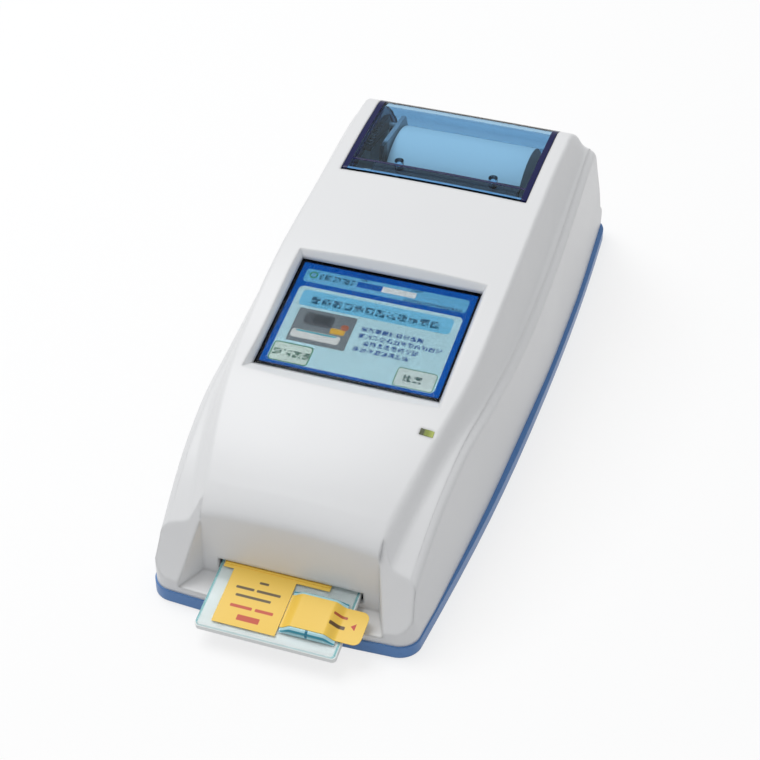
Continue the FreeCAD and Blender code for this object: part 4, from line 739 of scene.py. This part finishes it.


# The lid's painted skin, in object millimetres: where the navy side bands start (the edge-on
# walls' deeper tint, darkened as painted shade), the rear of the lip's painted highlight and the
# two sides of the navy bar, how far the skin stands off and its thickness
LID_BAND = 37.0
LIP_REAR, BAR_FRONT, BAR_REAR = 42.9, 48.0, 49.2
SKIN_LIFT, SKIN_THICK = 0.03, 0.02
# The lid's upper side is over this height and faces up by more than this; a band's faces may
# lean a little under
LID_UPPER, FACES_UP, LEANS_UNDER = 82.0, 0.5, -0.2
# Slots of the skin: navy for the side bands' painted shade and for the bar, then the lip's painted
# highlight
NAVY, LIP_HIGHLIGHT = 0, 1


def lid_shade_and_highlight_skin():
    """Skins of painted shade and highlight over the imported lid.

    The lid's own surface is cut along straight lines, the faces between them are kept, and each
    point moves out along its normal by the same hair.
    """
    shape = bmesh.new()
    shape.from_mesh(frame["nodes"]["printer_lid"].data)
    bmesh.ops.remove_doubles(shape, verts=shape.verts, dist=1e-6)
    cuts = [((side * LID_BAND * MM, 0, 0), (1, 0, 0)) for side in (-1, 1)]
    cuts += [((0, line * MM, 0), (0, 1, 0)) for line in (LIP_REAR, BAR_FRONT, BAR_REAR)]
    for place, facing in cuts:
        everything = shape.verts[:] + shape.edges[:] + shape.faces[:]
        bmesh.ops.bisect_plane(shape, geom=everything, dist=1e-7, plane_co=place, plane_no=facing)
    spare = []
    for face in shape.faces:
        centre = face.calc_center_median() / MM
        lip = centre.y < LIP_REAR
        bar = BAR_FRONT < centre.y < BAR_REAR
        upper = face.normal.z > FACES_UP and centre.z > LID_UPPER
        # Side bands take navy, painted shade over the walls' deeper tint; the lip takes a painted
        # highlight, and the bar takes navy
        if abs(centre.x) > LID_BAND and face.normal.z > LEANS_UNDER:
            face.material_index = NAVY
        elif upper and (lip or bar):
            face.material_index = LIP_HIGHLIGHT if lip else NAVY
        else:
            spare.append(face)
    bmesh.ops.delete(shape, geom=spare, context="FACES")
    mesh = bpy.data.meshes.new("lid_shade_and_highlight_skin")
    shape.to_mesh(mesh)
    shape.free()
    points = np.empty(len(mesh.vertices) * 3, dtype=np.float32)
    outward = np.empty_like(points)
    mesh.vertices.foreach_get("co", points)
    mesh.vertices.foreach_get("normal", outward)
    mesh.vertices.foreach_set("co", points + outward * np.float32(SKIN_LIFT * MM))
    mesh.update()
    shade_smooth(mesh, SKIN_SHARP)
    return mesh


add_piece("peel_band", peel_band(), [FINISHES["label_yellow"]], "peel_strip", True)
add_piece("inlet_dome", inlet_dome(), [inlet_material()], "sample_inlet", True)
# Navy for the side bands' painted shade and for the bar, light blue for the painted highlight on
# the lip
lid_skin_finishes = [
    plastic("lid_navy", (0.006, 0.009, 0.07, 1), low=0.08, high=0.16, bump=0.02,
            Specular_IOR_Level=0.3),
    plastic("lid_lip_highlight", srgb(66, 138, 196), low=0.05, high=0.12, bump=0.02),
]
lid_skin = add_piece("lid_shade_and_highlight_skin", lid_shade_and_highlight_skin(), lid_skin_finishes, "printer_lid", False)
wall = lid_skin.modifiers.new("wall", "SOLIDIFY")
wall.thickness = SKIN_THICK * MM
wall.offset = -1.0


# Stage
FLOOR_REACH = 15.0
FLOOR_GREY, FLOOR_WHITE = (0.62, 0.62, 0.62, 1), (0.97, 0.97, 0.97, 1)
# Share of the floor that is plain white to the camera; the rest takes the object's shadow
FLOOR_GLOW = 0.75
SKY_GREY, SKY_WHITE = (0.57, 0.575, 0.585, 1), (1.0, 1.0, 1.0, 1)
# The photograph's camera: where it stands round the screen's centre in degrees, how far it is
# right of, under and away from it in millimetres, and its focal length in image pixels
AZIMUTH, ELEVATION = 18.863, 38.882
RIGHT_OF, UNDER, AWAY = 3.971, 19.80, 729.76
FOCAL_PIXELS, IMAGE_PIXELS = 1910.78, 760.0
SENSOR = 36.0


def build_stage():
    """Pale floor that looks white and keeps the object's shadow."""
    grid = np.linspace(-FLOOR_REACH, FLOOR_REACH, 3)
    x, y = np.meshgrid(grid, grid, indexing="ij")
    points = np.stack([x, y, np.zeros_like(x)], axis=-1).reshape(-1, 3)
    first = np.array([0, 1, 3, 4])
    faces = np.stack([first, first + 3, first + 4, first + 1], axis=-1)
    mesh = bpy.data.meshes.new("floor")
    mesh.from_pydata(points.tolist(), [], faces.tolist())
    floor = bpy.data.objects.new("floor", mesh)
    bpy.context.scene.collection.objects.link(floor)
    ground = bpy.data.materials.new("floor")
    ground.use_nodes = True
    tree = ground.node_tree
    shader = tree.nodes["Principled BSDF"]
    shader.inputs["Roughness"].default_value = 0.9
    shader.inputs["Specular IOR Level"].default_value = 0.1
    seen = rays(tree, "Is Camera Ray", "Is Transmission Ray", "Is Glossy Ray")
    tree.links.new(paint(tree, FLOOR_GREY, seen, FLOOR_WHITE), shader.inputs["Base Color"])
    white = tree.nodes.new("ShaderNodeEmission")
    end_in_mix(tree, math_node(tree, "MULTIPLY", seen, FLOOR_GLOW), shader, white)
    mesh.materials.append(ground)


def area_light(name, place, target, size, power):
    """Soft rectangular lamp that faces a point."""
    data = bpy.data.lights.new(name, "AREA")
    data.shape = "RECTANGLE"
    data.size, data.size_y = size
    data.energy = power
    lamp = bpy.data.objects.new(name, data)
    lamp.location = place
    lamp.rotation_euler = (Vector(target) - Vector(place)).to_track_quat("-Z", "Y").to_euler()
    bpy.context.scene.collection.objects.link(lamp)


def build_world():
    """Even studio light, white where the camera or a clear piece looks at it."""
    world = bpy.data.worlds.new("studio")
    bpy.context.scene.world = world
    world.use_nodes = True
    tree = world.node_tree
    back = tree.nodes["Background"]
    seen = rays(tree, "Is Camera Ray", "Is Transmission Ray")
    tree.links.new(paint(tree, SKY_GREY, seen, SKY_WHITE), back.inputs["Color"])
    back.inputs["Strength"].default_value = 1.0


def build_camera():
    """The photograph's own camera, from the corners of the screen and the printer opening."""
    azimuth = math.radians(AZIMUTH)
    elevation = math.radians(ELEVATION)
    back = Vector((math.sin(azimuth) * math.cos(elevation),
                   -math.cos(azimuth) * math.cos(elevation), math.sin(elevation)))
    right = Vector((math.cos(azimuth), math.sin(azimuth), 0))
    up = back.cross(right)
    place = (Vector(SCREEN_CENTRE) + right * RIGHT_OF - up * UNDER + back * AWAY) * MM
    data = bpy.data.cameras.new("camera")
    data.sensor_width = SENSOR
    data.lens = SENSOR * FOCAL_PIXELS / IMAGE_PIXELS
    data.clip_end = 20.0
    camera = bpy.data.objects.new("camera", data)
    turn = Matrix((right, up, back)).transposed()
    camera.matrix_world = Matrix.Translation(place) @ turn.to_4x4()
    bpy.context.scene.collection.objects.link(camera)
    bpy.context.scene.camera = camera


build_stage()
build_world()
build_camera()
area_light("key", (-0.6, 0.15, 1.4), (0, 0, 0), (1.0, 1.0), 11.4)
bpy.context.scene.view_settings.view_transform = "Standard"
